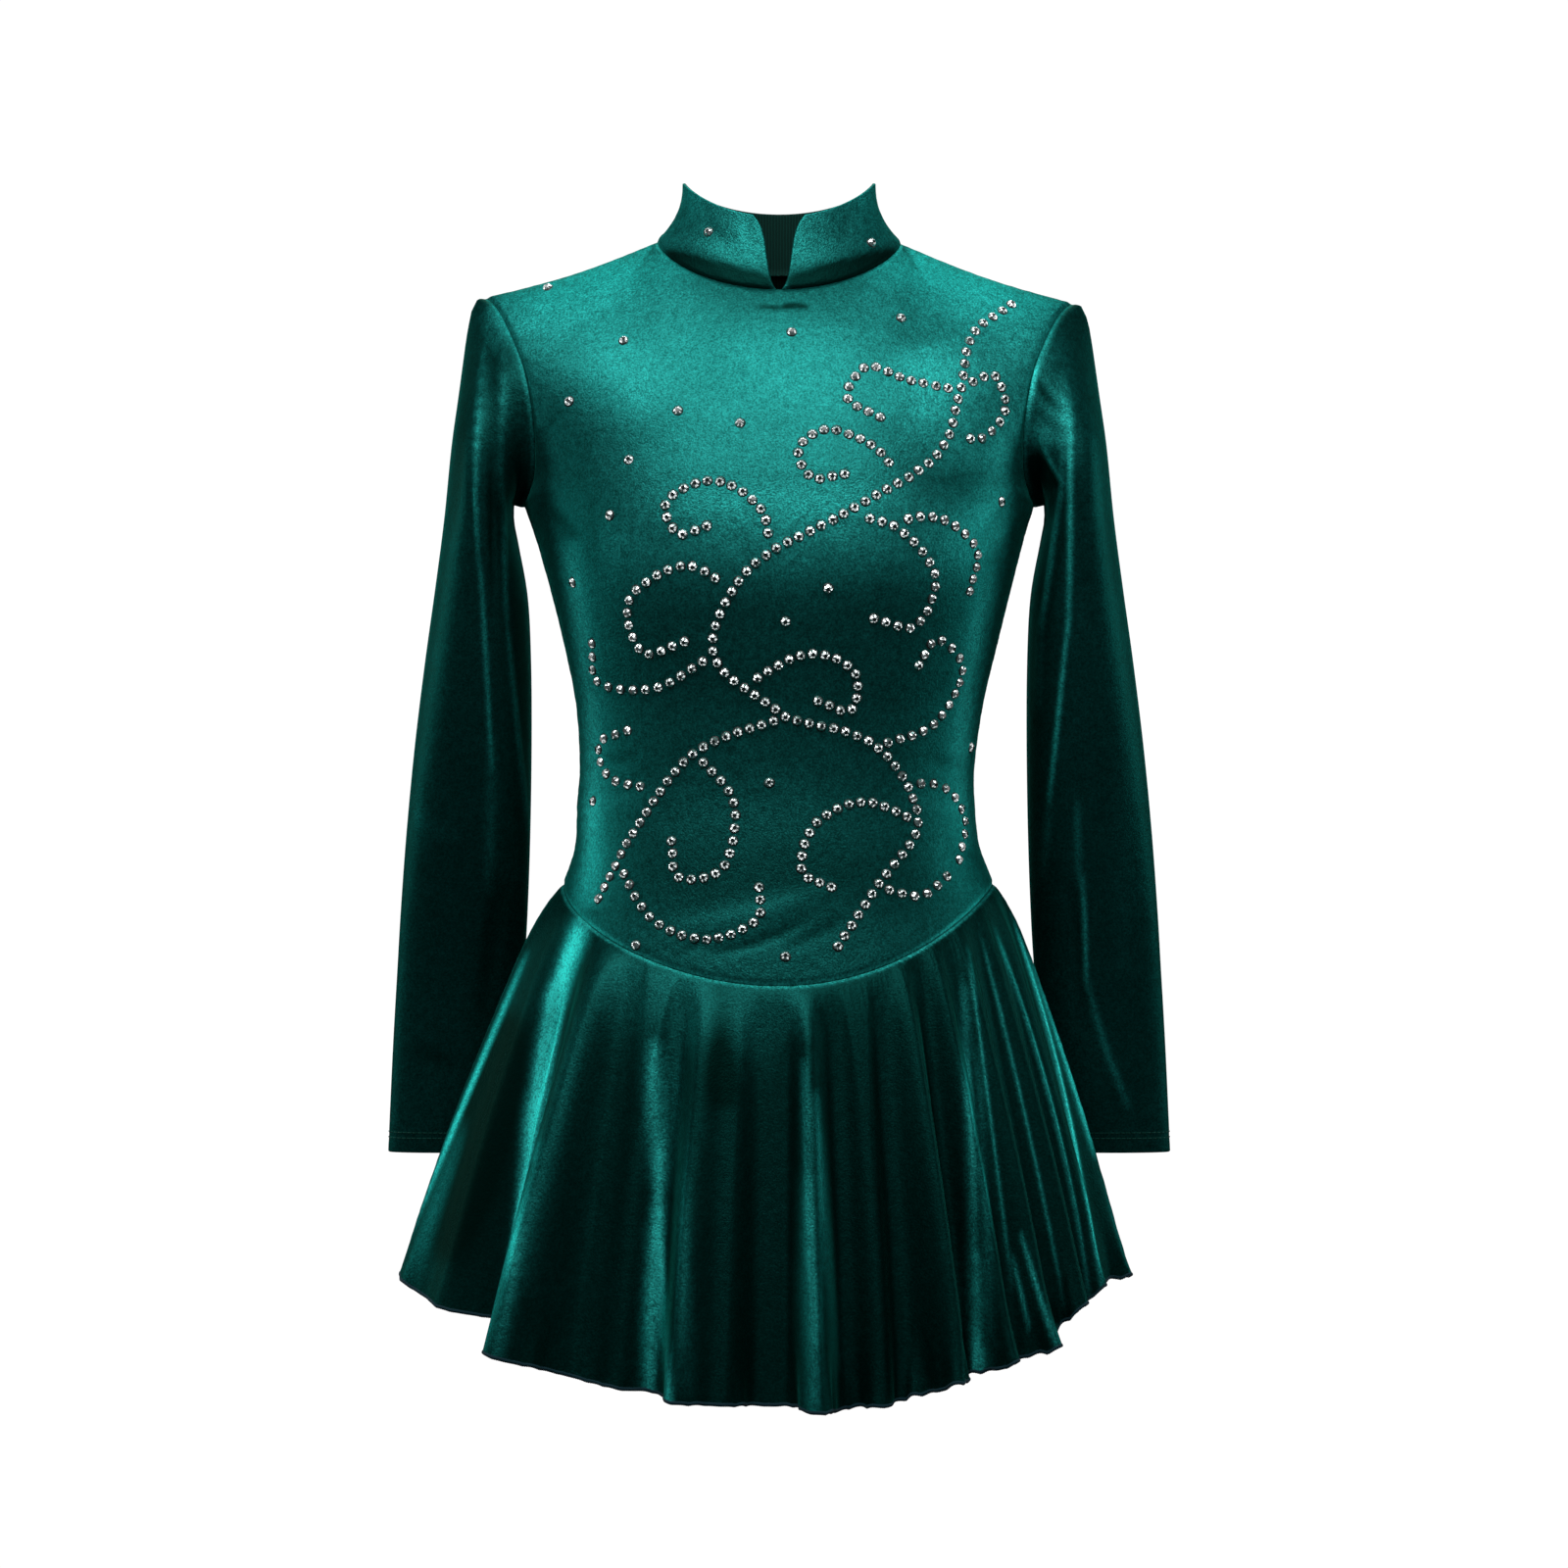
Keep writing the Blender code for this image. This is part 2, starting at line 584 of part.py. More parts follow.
def make_collar(material):
    """The stand collar, from one side of the notch round the back to the other."""
    foot = NOTCH_FOOT / NECK_SIDE.x
    half_turns = [math.pi * j / (2 * NECK_CELLS) for j in range(2 * NECK_CELLS + 1)]
    half_turns[0] = foot
    turns = half_turns + [-turn for turn in reversed(half_turns[:-1])]
    ups = [i / COLLAR_CELLS for i in range(COLLAR_CELLS + 1)]
    points = [[collar(turn, up) for turn in turns] for up in ups]
    normals = [[collar_normal(turn, up) for turn in turns] for up in ups]
    shared = [[None] * len(turns) for _ in ups]
    for j, turn in enumerate(turns):
        across, front = panel_place(turn)
        shared[0][j] = seam_normal(across * NECK_SHARE, TOP, front)
    points = drawn_in(points, normals, ("first_row",))
    return cloth("collar", points, walls(normals, shared, COLLAR_WALL), material)


def fold_turns(low, high):
    """The skirt's columns from one side seam to the other, as many to each fold, in radians."""
    shifts = [fold.turn + around for around in (-360, 0, 360) for fold in FOLDS]
    found = [
        between(first, second, k / CELLS_A_FOLD)
        for first, second in zip(shifts, shifts[1:])
        for k in range(CELLS_A_FOLD)
    ]
    inside = [turn for turn in found if low + 1 < turn < high - 1]
    return [math.radians(turn) for turn in [low, *inside, high]]


def make_skirt(name, low, high, material):
    """One half of the skirt, between the turns of its side seams in degrees."""

    def wrapped(turn):
        return (turn + math.pi) % (2 * math.pi) - math.pi

    turns = [wrapped(turn) for turn in fold_turns(low, high)]
    downs = [i / SKIRT_CELLS for i in range(SKIRT_CELLS + 1)]
    points = [[skirt(turn, down) for turn in turns] for down in downs]
    normals = [[skirt_normal(turn, down) for turn in turns] for down in downs]
    shared = [[None] * len(turns) for _ in downs]
    for j, turn in enumerate(turns):
        across, front = panel_place(turn)
        shared[0][j] = seam_normal(across, 0, front)
    edges = ("first_row", "first_column", "last_column")
    return cloth(name, drawn_in(points, normals, edges), walls(normals, shared), material)


def main():
    clear_scene()
    material = velvet()
    make_bodice(True, material)
    make_bodice(False, material)
    make_collar(material)
    make_sleeve(1, "sleeve_left", material)
    make_sleeve(-1, "sleeve_right", material)
    make_skirt("skirt_front", -90, 90, material)
    make_skirt("skirt_back", 90, 270, material)


main()
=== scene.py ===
"""The figure skating dress as it is seen: stretch velvet, seams, creases, threads and stones.

Metres, +Z up. The front faces -Y and the wearer's left is +X. Each cloth piece repeats the surface
of its solid from the same sizes, and adds creases, rolled seams and rounded edges.
"""

import math
from collections import namedtuple

import bmesh
import bpy
import numpy as np
from mathutils import Matrix, Vector
from mathutils.bvhtree import BVHTree


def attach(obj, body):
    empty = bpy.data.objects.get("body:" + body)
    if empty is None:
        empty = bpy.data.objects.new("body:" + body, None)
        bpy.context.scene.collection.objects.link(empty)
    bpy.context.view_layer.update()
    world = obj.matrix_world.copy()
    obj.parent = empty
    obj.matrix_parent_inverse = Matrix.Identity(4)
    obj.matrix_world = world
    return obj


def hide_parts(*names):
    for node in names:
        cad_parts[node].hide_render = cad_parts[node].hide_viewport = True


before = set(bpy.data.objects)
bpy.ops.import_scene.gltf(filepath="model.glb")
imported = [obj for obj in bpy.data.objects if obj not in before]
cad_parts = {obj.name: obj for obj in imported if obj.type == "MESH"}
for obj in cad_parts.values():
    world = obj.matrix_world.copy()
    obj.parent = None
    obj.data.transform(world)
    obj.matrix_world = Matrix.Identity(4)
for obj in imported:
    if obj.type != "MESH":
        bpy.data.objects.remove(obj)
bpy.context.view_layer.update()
bpy.ops.object.select_all(action="DESELECT")

# Sizes of the dress, the same as its solids have.

WALL = 0.0016  # stretch velvet, ground and pile together
COLLAR_WALL = 0.0022  # the collar is a folded double band
SEAM_GAP = 0.0003

NECK_SIDE = np.array((0.077, 0.0, 0.0015))
SHOULDER_TIP = np.array((0.185, 0.004, -0.035))
SHOULDER_SAG = 0.0032
SHOULDER_TILT = 0.0018
NECK_FRONT = (-0.058, -0.034)
NECK_BACK = (0.062, -0.012)
NECK_DIP = 1.3
NECK_SHARE = 6 / 11
TOP_SOFTENING = 0.14
TOP_SAMPLES = 3  # on each side, to soften the corner of the top edge
SECTION_FULLNESS = 0.9
UNDERARM_CORNER = 6
SHOULDER_ROUNDING = 0.5

Level = namedtuple("Level", "side_x side_z sway front_y front_z bust back_y back_z")
BODY = [
    Level(0.1355, -0.404, -0.0005, -0.110, -0.464, 0.000, 0.104, -0.438),
    Level(0.1270, -0.380, -0.0012, -0.102, -0.426, 0.000, 0.094, -0.404),
    Level(0.1248, -0.352, -0.0020, -0.094, -0.385, 0.000, 0.083, -0.369),
    Level(0.1240, -0.329, -0.0012, -0.089, -0.343, 0.000, 0.076, -0.333),
    Level(0.1278, -0.291, 0.0003, -0.092, -0.297, 0.000, 0.080, -0.293),
    Level(0.1358, -0.254, 0.0010, -0.101, -0.255, 0.002, 0.089, -0.254),
    Level(0.1450, -0.217, 0.0010, -0.1085, -0.215, 0.005, 0.098, -0.217),
    Level(0.1540, -0.184, 0.0005, -0.1105, -0.182, 0.007, 0.103, -0.182),
    Level(0.1600, -0.166, 0.0000, -0.106, -0.154, 0.006, 0.105, -0.154),
]
Chest = namedtuple("Chest", "edge_x edge_y edge_z sweep mid_y mid_z bust top")
FRONT_CHEST = [
    Chest(0.1530, -0.034, -0.146, 76, -0.0985, -0.128, 0.004, 0.00),
    Chest(0.1520, -0.050, -0.118, 66, -0.0905, -0.103, 0.002, 0.03),
    Chest(0.1555, -0.052, -0.088, 60, -0.0815, -0.079, 0.000, 0.14),
    Chest(0.1650, -0.036, -0.058, 62, -0.071, -0.056, 0.000, 0.45),
    Chest(0.1850, 0.004, -0.036, 64, -0.058, -0.034, 0.000, 1.00),
]
BACK_CHEST = [
    Chest(0.1575, 0.036, -0.146, 76, 0.106, -0.124, 0.000, 0.00),
    Chest(0.1590, 0.052, -0.118, 66, 0.104, -0.095, 0.000, 0.03),
    Chest(0.1620, 0.054, -0.088, 60, 0.098, -0.067, 0.000, 0.14),
    Chest(0.1700, 0.038, -0.058, 62, 0.086, -0.040, 0.000, 0.45),
    Chest(0.1850, 0.004, -0.036, 64, 0.062, -0.012, 0.000, 1.00),
]
BUST_X = 0.074
BUST_SPREAD = 0.062
BUST_END = 1 / 3  # the share of the way to the side over which the bust dies out
LEVEL_CURVE = (1.2, 1.9)
UNDERARM = len(BODY) - 1
TOP = UNDERARM + len(FRONT_CHEST)

HEAD_OUT = 0.0095
HEAD_DROP_AT_TIP = 0.010
HEAD_DROP_AT_UNDERARM = -0.0015
Ring = namedtuple("Ring", "inner_x inner_z outer_x outer_z front_y back_y")
SLEEVE = [
    Ring(0.1690, -0.175, 0.2040, -0.112, -0.052, 0.058),
    Ring(0.1665, -0.188, 0.2110, -0.174, -0.047, 0.058),
    Ring(0.1605, -0.222, 0.2172, -0.218, -0.038, 0.057),
    Ring(0.1585, -0.264, 0.2240, -0.264, -0.029, 0.056),
    Ring(0.1585, -0.316, 0.2310, -0.316, -0.016, 0.057),
    Ring(0.1597, -0.370, 0.2370, -0.370, 0.000, 0.059),
    Ring(0.1618, -0.420, 0.2415, -0.420, 0.016, 0.062),
    Ring(0.1645, -0.460, 0.2445, -0.460, 0.028, 0.066),
    Ring(0.1695, -0.512, 0.2480, -0.512, 0.038, 0.070),
    Ring(0.1770, -0.578, 0.2515, -0.578, 0.046, 0.074),
]
SLEEVE_KNOTS = len(SLEEVE) + 1
SLEEVE_SQUARENESS = 2.3

COLLAR_TOP_X = 0.0600
COLLAR_TOP_FRONT = (-0.049, 0.012)
COLLAR_TOP_BACK = (0.056, 0.026)
COLLAR_TOP_SIDE_Z = 0.039
COLLAR_DIP = 1.5
COLLAR_HOLLOW = 2.4
COLLAR_SET_IN = 0.4
NOTCH_FOOT = 0.0010
NOTCH_TOP = math.radians(15)
NOTCH_CURVE = (0.55, 8.0, 0.38)

# How far the skirt falls and how far it stands out, from its seam to its hem.
SKIRT_FALL = [
    (0.000, 0.0000), (0.013, 0.0085), (0.037, 0.0195), (0.083, 0.0360),
    (0.138, 0.0545), (0.195, 0.0715), (0.248, 0.0855),
]
FLARE_MIDDLE = 0.74
FLARE_RIGHT_SIDE = 1.06
FLARE_LEFT_SIDE = 0.92
# The folds round the skirt: each one's turn in degrees from the centre front, how far it stands out
# and hangs down at the hem, and where it starts, as a share of the skirt's fall.
FOLDS = np.array([
    (-176, 0.016, 0, 0.08), (-167, -0.017, 0.003, 0.05), (-158, 0.018, -0.002, 0.03),
    (-149, -0.015, 0.003, 0.03), (-140, 0.015, -0.003, 0), (-131, 0.006, 0, 0),
    (-113, -0.044, 0.006, 0), (-85, 0.013, -0.004, 0), (-75, -0.003, 0.002, 0),
    (-64, -0.034, 0.002, 0), (-47, 0.033, -0.003, 0), (-38, -0.008, 0.005, 0),
    (-31, -0.006, 0.004, 0.45), (-25, -0.017, 0.003, 0.05), (-17.5, 0.02, 0.001, 0.08),
    (-10, 0.004, 0.001, 0.08), (-3, -0.017, 0.002, 0.08), (1, -0.017, 0.002, 0.08),
    (7, 0.023, 0.003, 0.05), (14, -0.016, 0.007, 0.08), (20, -0.004, 0.008, 0.5),
    (25, -0.014, 0.009, 0.1), (32.5, 0.018, 0.002, 0.02), (38, -0.017, 0.009, 0),
    (43, 0.011, 0.004, 0), (48, -0.011, 0.01, 0), (53, 0.008, 0.009, 0),
    (58.5, -0.014, 0.012, 0), (64, 0.002, -0.005, 0), (70, -0.017, 0.009, 0),
    (76, -0.003, -0.003, 0), (82, -0.01, 0.001, 0), (88, 0.007, 0, 0), (113, -0.044, 0.006, 0),
    (131, 0.01, -0.002, 0), (141, -0.012, 0.003, 0), (151, 0.018, -0.003, 0.03),
    (160, -0.015, 0.002, 0.05), (168, 0.016, 0, 0.05), (176, -0.015, 0.004, 0.06),
])
FOLD_GROWTH = 1.15
FOLD_CREST = 1.5

STEP = 0.004  # the share of a piece over which a slope is read
TINY = 1e-6
MITRE_LIMIT = 0.6

# Finer form.

CLOTH_CELL = 0.0027  # how finely the velvet is meshed, away from its edges
SKIRT_ACROSS = 0.00125  # across the long folds of the skirt
SKIRT_ALONG = 0.0062  # and along them
SLEEVE_ACROSS = 0.0009  # across the sleeve's long creases
SLEEVE_ALONG = 0.0052  # and along them
EDGE_CELLS = (0.0003, 0.0007, 0.0012, 0.0018, 0.0026, 0.0038)  # near an edge
EDGE_CLEAR = 1.3  # the even rows start beyond the last of these by this much
SEAM_BLEND = 0.007  # a wall turns to the seam's mitre over this distance
SEAM_ROLL = 0.0011  # the cloth rolls this deep into a seam
SEAM_ROLL_WIDTH = 0.0019
UNDERARM_ROLL = 0.7  # the sleeve's own seam is rolled less
PUCKER = 0.00022  # ripples beside a seam
PUCKER_PITCH = 0.0085
PUCKER_RUN = np.array((1.3, 1.0, 1.0))  # the way that the ripples follow each other
PUCKER_REACH = 0.009
PUCKER_BEAT = 0.37  # a slower wave that breaks the ripples up
EDGE_ROUND = 0.0009  # radius of a folded edge
EDGE_LIMIT = 0.97  # how far round it goes, so that the edge keeps some thickness
CREASE_FADE = 0.010  # creases die out this near a seam
CREASE_TAPER = 0.55  # below 1, a crease keeps its height nearly to its ends
CREASE_FACING = 2.5  # above 1, a crease stays strong where the cloth turns away

# A crease is a line in the front view from one end to the other, in millimetres, bowed sideways by
# bow and soft over width. A height below 0 is a trough. shine paints the velvet: above 0 a
# painted highlight, as if the pile were laid down to catch the light, and below 0 painted shade, as
# if it stood up and looked deep. A row with no height is only painted highlight or shade.
Crease = namedtuple("Crease", "x0 z0 x1 z1 bow width height shine side")
FRONT, BACK = 1, -1


def on_side(side, rows):
    return [Crease(*row, side) for row in rows]


# In the crease tables the last number of a row paints a highlight, above 0, or shade, below 0.
BODICE_CREASES = on_side(FRONT, [
    (-150, -90, 150, -90, 0, 56, 0, 0.08), (-190, -66, -62, -2, 0, 26, 0, 0.28),
    (190, -66, 62, -2, 0, 26, 0, 0.37), (-56, -46, 56, -46, -4, 20, 0, -0.09),
    (-112, -194, 144, -186, 0, 24, 0, 0.44), (-160, -56, -98, -212, 5, 13, 0, -0.03),
    (-152, -80, -150, -150, 0, 12, 0, 0.07), (150, -56, 136, -190, 0, 15, 0, 0.26),
    (96, -66, 112, -150, 0, 24, 0, 0.39), (-122, -58, -70, -112, 0, 20, 0, 0.08),
    (-80, -92, 0, -92, 0, 30, 0, -0.04), (-131, -190, -119, -420, -3, 9, 0, 0.55),
    (-96, -400, 96, -400, 0, 28, 0, -0.08), (133, -205, 120, -384, 8, 9, 0, 0.39),
    (-15, -45, 8, -46, 0.6, 1.6, -0.6, -0.09), (2, -45, 20, -46, -0.6, 1.9, -0.8, -0.12),
    (-48, -446, 20, -423, 3.5, 3.2, -1.1, -0.06), (-62, -447, -42, -434, 1, 2.6, -0.8, -0.04),
    (2, -440, 40, -424, 2, 3.4, -0.7, -0.04), (-70, -430, 35, -404, 4, 6, 0.8, 0.06),
    (146, -160, 118, -196, -3, 5, -1, -0.06), (150, -140, 132, -120, 2, 4, -0.8, -0.04),
    (-148, -160, -122, -192, 3, 5, -1, -0.06), (-150, -136, -134, -108, -2, 4.5, -0.8, -0.04),
    (-124, -330, -84, -322, 2, 4, -0.7, -0.04), (124, -334, 88, -322, -2, 4, -0.7, -0.04),
    (-118, -352, -70, -346, 1.5, 5, 0.6, 0.04), (112, -356, 72, -350, -1.5, 5, 0.6, 0.04),
]) + on_side(BACK, [
    (-150, -70, 150, -70, 0, 60, 0, 0.08), (-190, -66, -62, -2, 0, 26, 0, 0.18),
    (190, -66, 62, -2, 0, 26, 0, 0.18), (-136, -225, -124, -390, -4, 8, 0, 0.24),
    (136, -225, 124, -390, 4, 8, 0, 0.24), (-152, -150, -118, -190, 3, 5.5, -1.2, -0.07),
    (152, -150, 120, -186, -3, 5.5, -1.1, -0.06), (-150, -126, -104, -132, -3, 6, 0.9, 0.06),
    (150, -130, 110, -138, 3, 6, 0.8, 0.06), (-80, -338, 30, -344, 3, 4, -1, -0.06),
    (-20, -324, 84, -330, -3, 4.2, -0.9, -0.05), (-96, -356, -8, -366, 3, 5, 0.9, 0.06),
    (10, -362, 90, -352, 3, 5, -0.8, -0.04), (-60, -396, 12, -410, 2, 4.5, -0.9, -0.05),
    (-34, -30, 30, -31, -1, 3, -0.6, -0.03),
])
SLEEVE_CREASES = on_side(FRONT, [
    (-184, -62, -186, -222, 3.2, 1.6, 1.3, 0.3), (-186, -206, -181, -335, 0, 1.5, 1.3, 0.42),
    (-181, -310, -185, -412, -1, 3.4, 0.8, 0.1), (-175, -58, -174, -150, -2.5, 1.6, 1, 0.09),
    (-174, -136, -171, -240, 0, 1.4, 1.1, 0.23), (-172, -222, -160, -380, 0, 1.4, 1, 0.21),
    (-179, -66, -179, -240, 0, 2, -1.4, -0.03), (-164, -84, -158, -330, 0, 5, -0.8, -0.03),
    (-184, -40, -172, -70, 0, 5.5, 0, 0.21), (-196, -70, -205, -190, -2, 5, -1, -0.03),
    (-176, -400, -190, -500, 2, 6, -1, -0.03), (-236, -512, -206, -524, -2, 5, -0.9, -0.03),
    (-232, -360, -200, -376, 2, 6, 0.7, 0.03), (180, -92, 181, -252, -1, 1.7, 0.9, 0.82),
    (181, -238, 171, -354, 0, 1.6, 1, 0.75), (182, -150, 196, -560, 0, 26, 0, 0.02),
    (172, -342, 168, -402, 0, 2.6, 0.8, 0.08), (177, -84, 176, -170, 0, 1.5, 1, 0.22),
    (177, -154, 165, -246, 0, 1.5, 1.1, 0.6), (165, -234, 164, -300, 0, 2.4, 0.8, 0.1),
    (162, -124, 179, -156, 1.5, 1.4, 1, 0.35), (158, -134, 172, -158, 1.5, 5.5, -2, -0.19),
    (156, -118, 172, -130, 0, 5.5, 0.6, 0.34), (160, -88, 178, -112, 2, 3, -1, -0.11),
    (170, -52, 176, -150, 0, 12, 0, 0.11), (160, -68, 153, -130, 0, 2.4, 0, 0.28),
    (196, -60, 204, -180, 2, 7, -0.8, 0.03), (188, -350, 190, -408, 0, 2.6, 1, 0.17),
    (192, -398, 196, -474, -0.6, 1.7, 1.4, 0.58), (196, -464, 226, -552, 3, 2.4, 1.4, 0.25),
    (184, -400, 193, -500, -3, 5, -1.2, -0.03), (214, -330, 220, -470, 1, 7, 0.8, 0.03),
]) + on_side(BACK, [
    (-178, -66, -180, -280, 2, 3.6, 1.6, 0.32), (-188, -80, -196, -250, -2, 4, -1.7, -0.07),
    (-166, -150, -172, -330, 2, 4, 1.2, 0.12), (-196, -270, -220, -300, 4, 5, -1.3, -0.06),
    (-176, -300, -204, -330, 4, 5, 1.2, 0.12), (-200, -350, -214, -520, 3, 5, 1.2, 0.12),
    (178, -66, 182, -260, -2, 3.6, 1.6, 0.32), (190, -80, 194, -240, 2, 4, -1.6, -0.07),
    (168, -140, 171, -320, -2, 4, 1.2, 0.12), (200, -262, 222, -296, -4, 5, -1.2, -0.05),
    (178, -310, 208, -336, -4, 5, 1.2, 0.12), (196, -350, 210, -530, -3, 5, 1.3, 0.13),
])
COLLAR_CREASES = on_side(FRONT, [
    (-80, -14, 80, -14, 12, 9, 0, -0.14), (-75, -9, -4, -37, 2, 8, 0, -0.55),
    (79, -7, 5, -36, -2, 8, 0, -0.55), (-60, 34, 60, 34, 6, 12, 0, 0.08),
    (-44, 12, -30, -6, 2, 3.5, -0.6, -0.06), (34, 16, 42, -2, -2, 3, -0.6, -0.06),
    (47, 18, 52, 2, 2, 3, 0.5, 0.05), (-26, 8, -22, -12, -1, 3, 0.5, 0.05),
]) + on_side(BACK, [
    (-30, 20, -24, 2, 2, 4, 0.5, 0.05), (18, 22, 26, 0, -2, 4, -0.5, -0.05),
])
SKIRT_CREASES = on_side(FRONT, [
    (-118, -458, 6, -492, 0, 24, 0, 0.09), (-36, -458, -34, -540, 0, 9, 0, -0.08),
    (-168, -480, -214, -640, 0, 24, 0, -0.06), (-158, -448, -243, -651, 0, 2, 0, 0.7),
    (-194, -548, -232, -656, 0, 5.5, 0, 0.14), (-119, -420, -142, -484, 0, 5.5, 1, 0.98),
    (-137, -462, -153, -572, 2, 4.8, 1, 0.95), (-129, -462, -177, -682, 0, 1.3, 1, 0.9),
    (-154, -530, -162, -640, 0, 3.5, 0, 0.55), (-146, -556, -171, -694, 0, 5, 0, 0.18),
    (-118, -478, -154, -650, 2, 6, 0, 0.07), (-75, -496, -72, -590, 1, 5, 0.9, 0.62),
    (-73, -560, -70, -680, 1, 3.2, 0.8, 0.6), (-73, -590, -77, -728, 2, 5, 0.2, 0.7),
    (-71, -618, -64, -726, 0, 2.4, 0.5, 0.85), (-63, -490, -54, -706, 0, 5, 0.3, 0.12),
    (10, -462, 14, -498, 0, 8, 0.3, 0.05), (15, -506, 18, -640, 0, 2.6, 0.9, 0.32),
    (16, -576, 20, -735, 0, 3.8, 0.7, 0.72), (15, -626, 19, -676, 0, 6, 0, 0.14),
    (22, -524, 34, -694, 0, 2.8, 0.6, 0.32), (113, -462, 119, -710, -1, 3, 1, 0.41),
    (119, -620, 123, -714, 0, 4.5, 0, 0.58), (122, -500, 128, -700, 0, 3, 0.4, 0.15),
    (116, -440, 142, -650, 0, 1.2, 0.9, 0.4), (142, -630, 152, -672, 0, 1.3, 0.8, 0.55),
    (125, -436, 176, -668, -2, 1.2, 0.9, 0.44), (146, -612, 167, -684, 0, 1.3, 0.9, 0.6),
    (133, -430, 193, -664, -7, 1.2, 0.9, 0.48), (146, -424, 199, -660, -7, 1.2, 0.9, 0.8),
    (158, -446, 199, -575, -1, 2.2, 0.6, 0.95), (198, -560, 221, -650, 0, 2, 0, 0.34),
]) + on_side(BACK, [
    (-104, -450, -118, -690, 0, 5, 1.1, 0.41), (-52, -462, -58, -700, 0, 4.5, 1.1, 0.38),
    (4, -460, 6, -705, 0, 4, 0.9, 0.34), (52, -462, 62, -700, 0, 5, 1.1, 0.41),
    (102, -450, 122, -690, 0, 4.5, 1, 0.38), (-140, -440, -176, -660, 4, 3, 0.9, 0.41),
    (140, -440, 172, -650, -4, 3, 0.9, 0.41), (-100, -452, 100, -452, 10, 18, 0, 0.08),
])

# Painted sheen of each kind of piece before a crease changes it, which also stands for how far
# its pile lies: 0 stands up, 1 lies flat.
BODICE_PAINTED_SHEEN = 0.14
COLLAR_PAINTED_SHEEN = 0.235
SLEEVE_PAINTED_SHEEN = 0.052
SKIRT_PAINTED_SHEEN = 0.024
SEAM_PAINTED_HIGHLIGHT = 0.36  # a painted highlight beside the basque seam, as if it pulled the pile open
ARMHOLE_PAINTED_HIGHLIGHT = 0.15
SEAM_HIGHLIGHT_AT = 0.0012
SEAM_HIGHLIGHT_WIDTH = 0.0010

# Small flutes of the overlocked hem: their height at each turn in degrees.
HEM_FLUTES = [
    (-180, 0.0016), (-120, 0.002), (-70, 0.0006), (-40, 0.0008), (0, 0.001), (30, 0.0028),
    (60, 0.0036), (95, 0.0026), (130, 0.0022), (180, 0.0016),
]
FLUTE_PITCHES = (0.0290, 0.0173)
FLUTE_SHARES = (1 / 1.3, 0.6 / 1.3)
FLUTE_GROWTH = 1.6
FLUTE_DEPTH = 0.13  # the share of the skirt's fall that they take up
FLUTE_RISE = 0.6  # how much a flute lifts the hem, as a share of its height

HEM_THREAD_HEIGHT = 0.0026  # the rolled overlock: how far it wraps the edge
HEM_THREAD_THICKNESS = 0.0025
HEM_THREAD_PITCH = 0.0014  # from one wrap of thread to the next
HEM_RINGS = 3  # rings of the mesh in each wrap
HEM_SIDES = 8
HEM_RIDGE = 0.13  # how far a wrap stands out, as a share of the roll
HEM_SLANT = 0.8  # how far a wrap leans as it goes round, in radians
HEM_ROWS_UP = 8  # the rows of cloth that tell which way the cloth runs up from its edge
HEM_LIFT = 0.55  # how far the roll sits up from the cut edge, as a share of its half height

CUFF_STITCH_ROWS = (0.0096, 0.0132)  # the twin needle's two rows, up from the cuff's edge
STITCH_LENGTH = 0.0029
STITCH_PITCH = 0.0034
STITCH_STEP = STITCH_PITCH / 8  # how finely a row of stitches follows the cuff
STITCH_THICKNESS = 0.0006
STITCH_SINK = 0.00045
STITCH_SIDES = 5
STITCH_RINGS = 5
STITCH_BULGE = (0.12, 0.88)  # the part of a half wave that a stitch follows
STITCH_END = 0.55  # thickness at its ends, as a share
STITCH_PULL = 0.0003  # how deep a row of stitches draws the velvet in
STITCH_PULL_WIDTH = 0.0009

STONE_RADIUS = 0.0031  # SS30
STONE_HEIGHT = 0.0021
# The corners of its table, star, girdle and foot: how many, and their shift, reach and height.
STONE_RINGS = [(8, 0, 0.42, 1.0), (8, 0.5, 0.70, 0.78), (16, 0, 0.93, 0.26), (16, 0, 1.17, -0.10)]
STONE_PITCH = 0.0077
STONE_CLEARANCE = 0.9  # where vines meet, stones are this share of the pitch apart at least
STONE_TILT = 0.05
STONE_SEED = 7


# Materials. A noise or wave of scale s repeats about every 1 / s metres.

TUFT_SCALE = 1 / 0.0012  # tufts, drawn coarser than the real pile so that they show
CLUMP_SCALE = 1 / 0.0048  # brushed clumps
CLOUD_SCALE = 1 / 0.028  # clouds in the painted sheen
WALE_SCALE = 1 / 0.006  # wales of the knit, drawn coarser than real so that they show
GLINT_SCALE = 1 / 0.005  # from one stone to the next
FIBRE_SCALE = 1 / 0.000625  # a thread's fibres, drawn coarser than real so that they show
STONE_RIM_SCALE = 700  # patches on the dark rim of each stone, about 1.4 mm
FLOOR_SCALE = 3  # clouds of floor paint, about 33 cm


def colour(hex_value):
    """The linear colour of an sRGB hex value."""
    channels = [int(hex_value[k : k + 2], 16) / 255 for k in (1, 3, 5)]
    linear = [c / 12.92 if c <= 0.04045 else ((c + 0.055) / 1.055) ** 2.4 for c in channels]
    return (*linear, 1.0)


def feed(tree, made, **inputs):
    """Sets a node's inputs, by name or by number. Each is a value, or a socket to link from."""
    for name, value in inputs.items():
        socket = made.inputs[int(name[1:]) if name[0] == "_" else name.replace("_", " ")]
        if isinstance(value, bpy.types.NodeSocket):
            tree.links.new(value, socket)
        else:
            socket.default_value = value
    return made


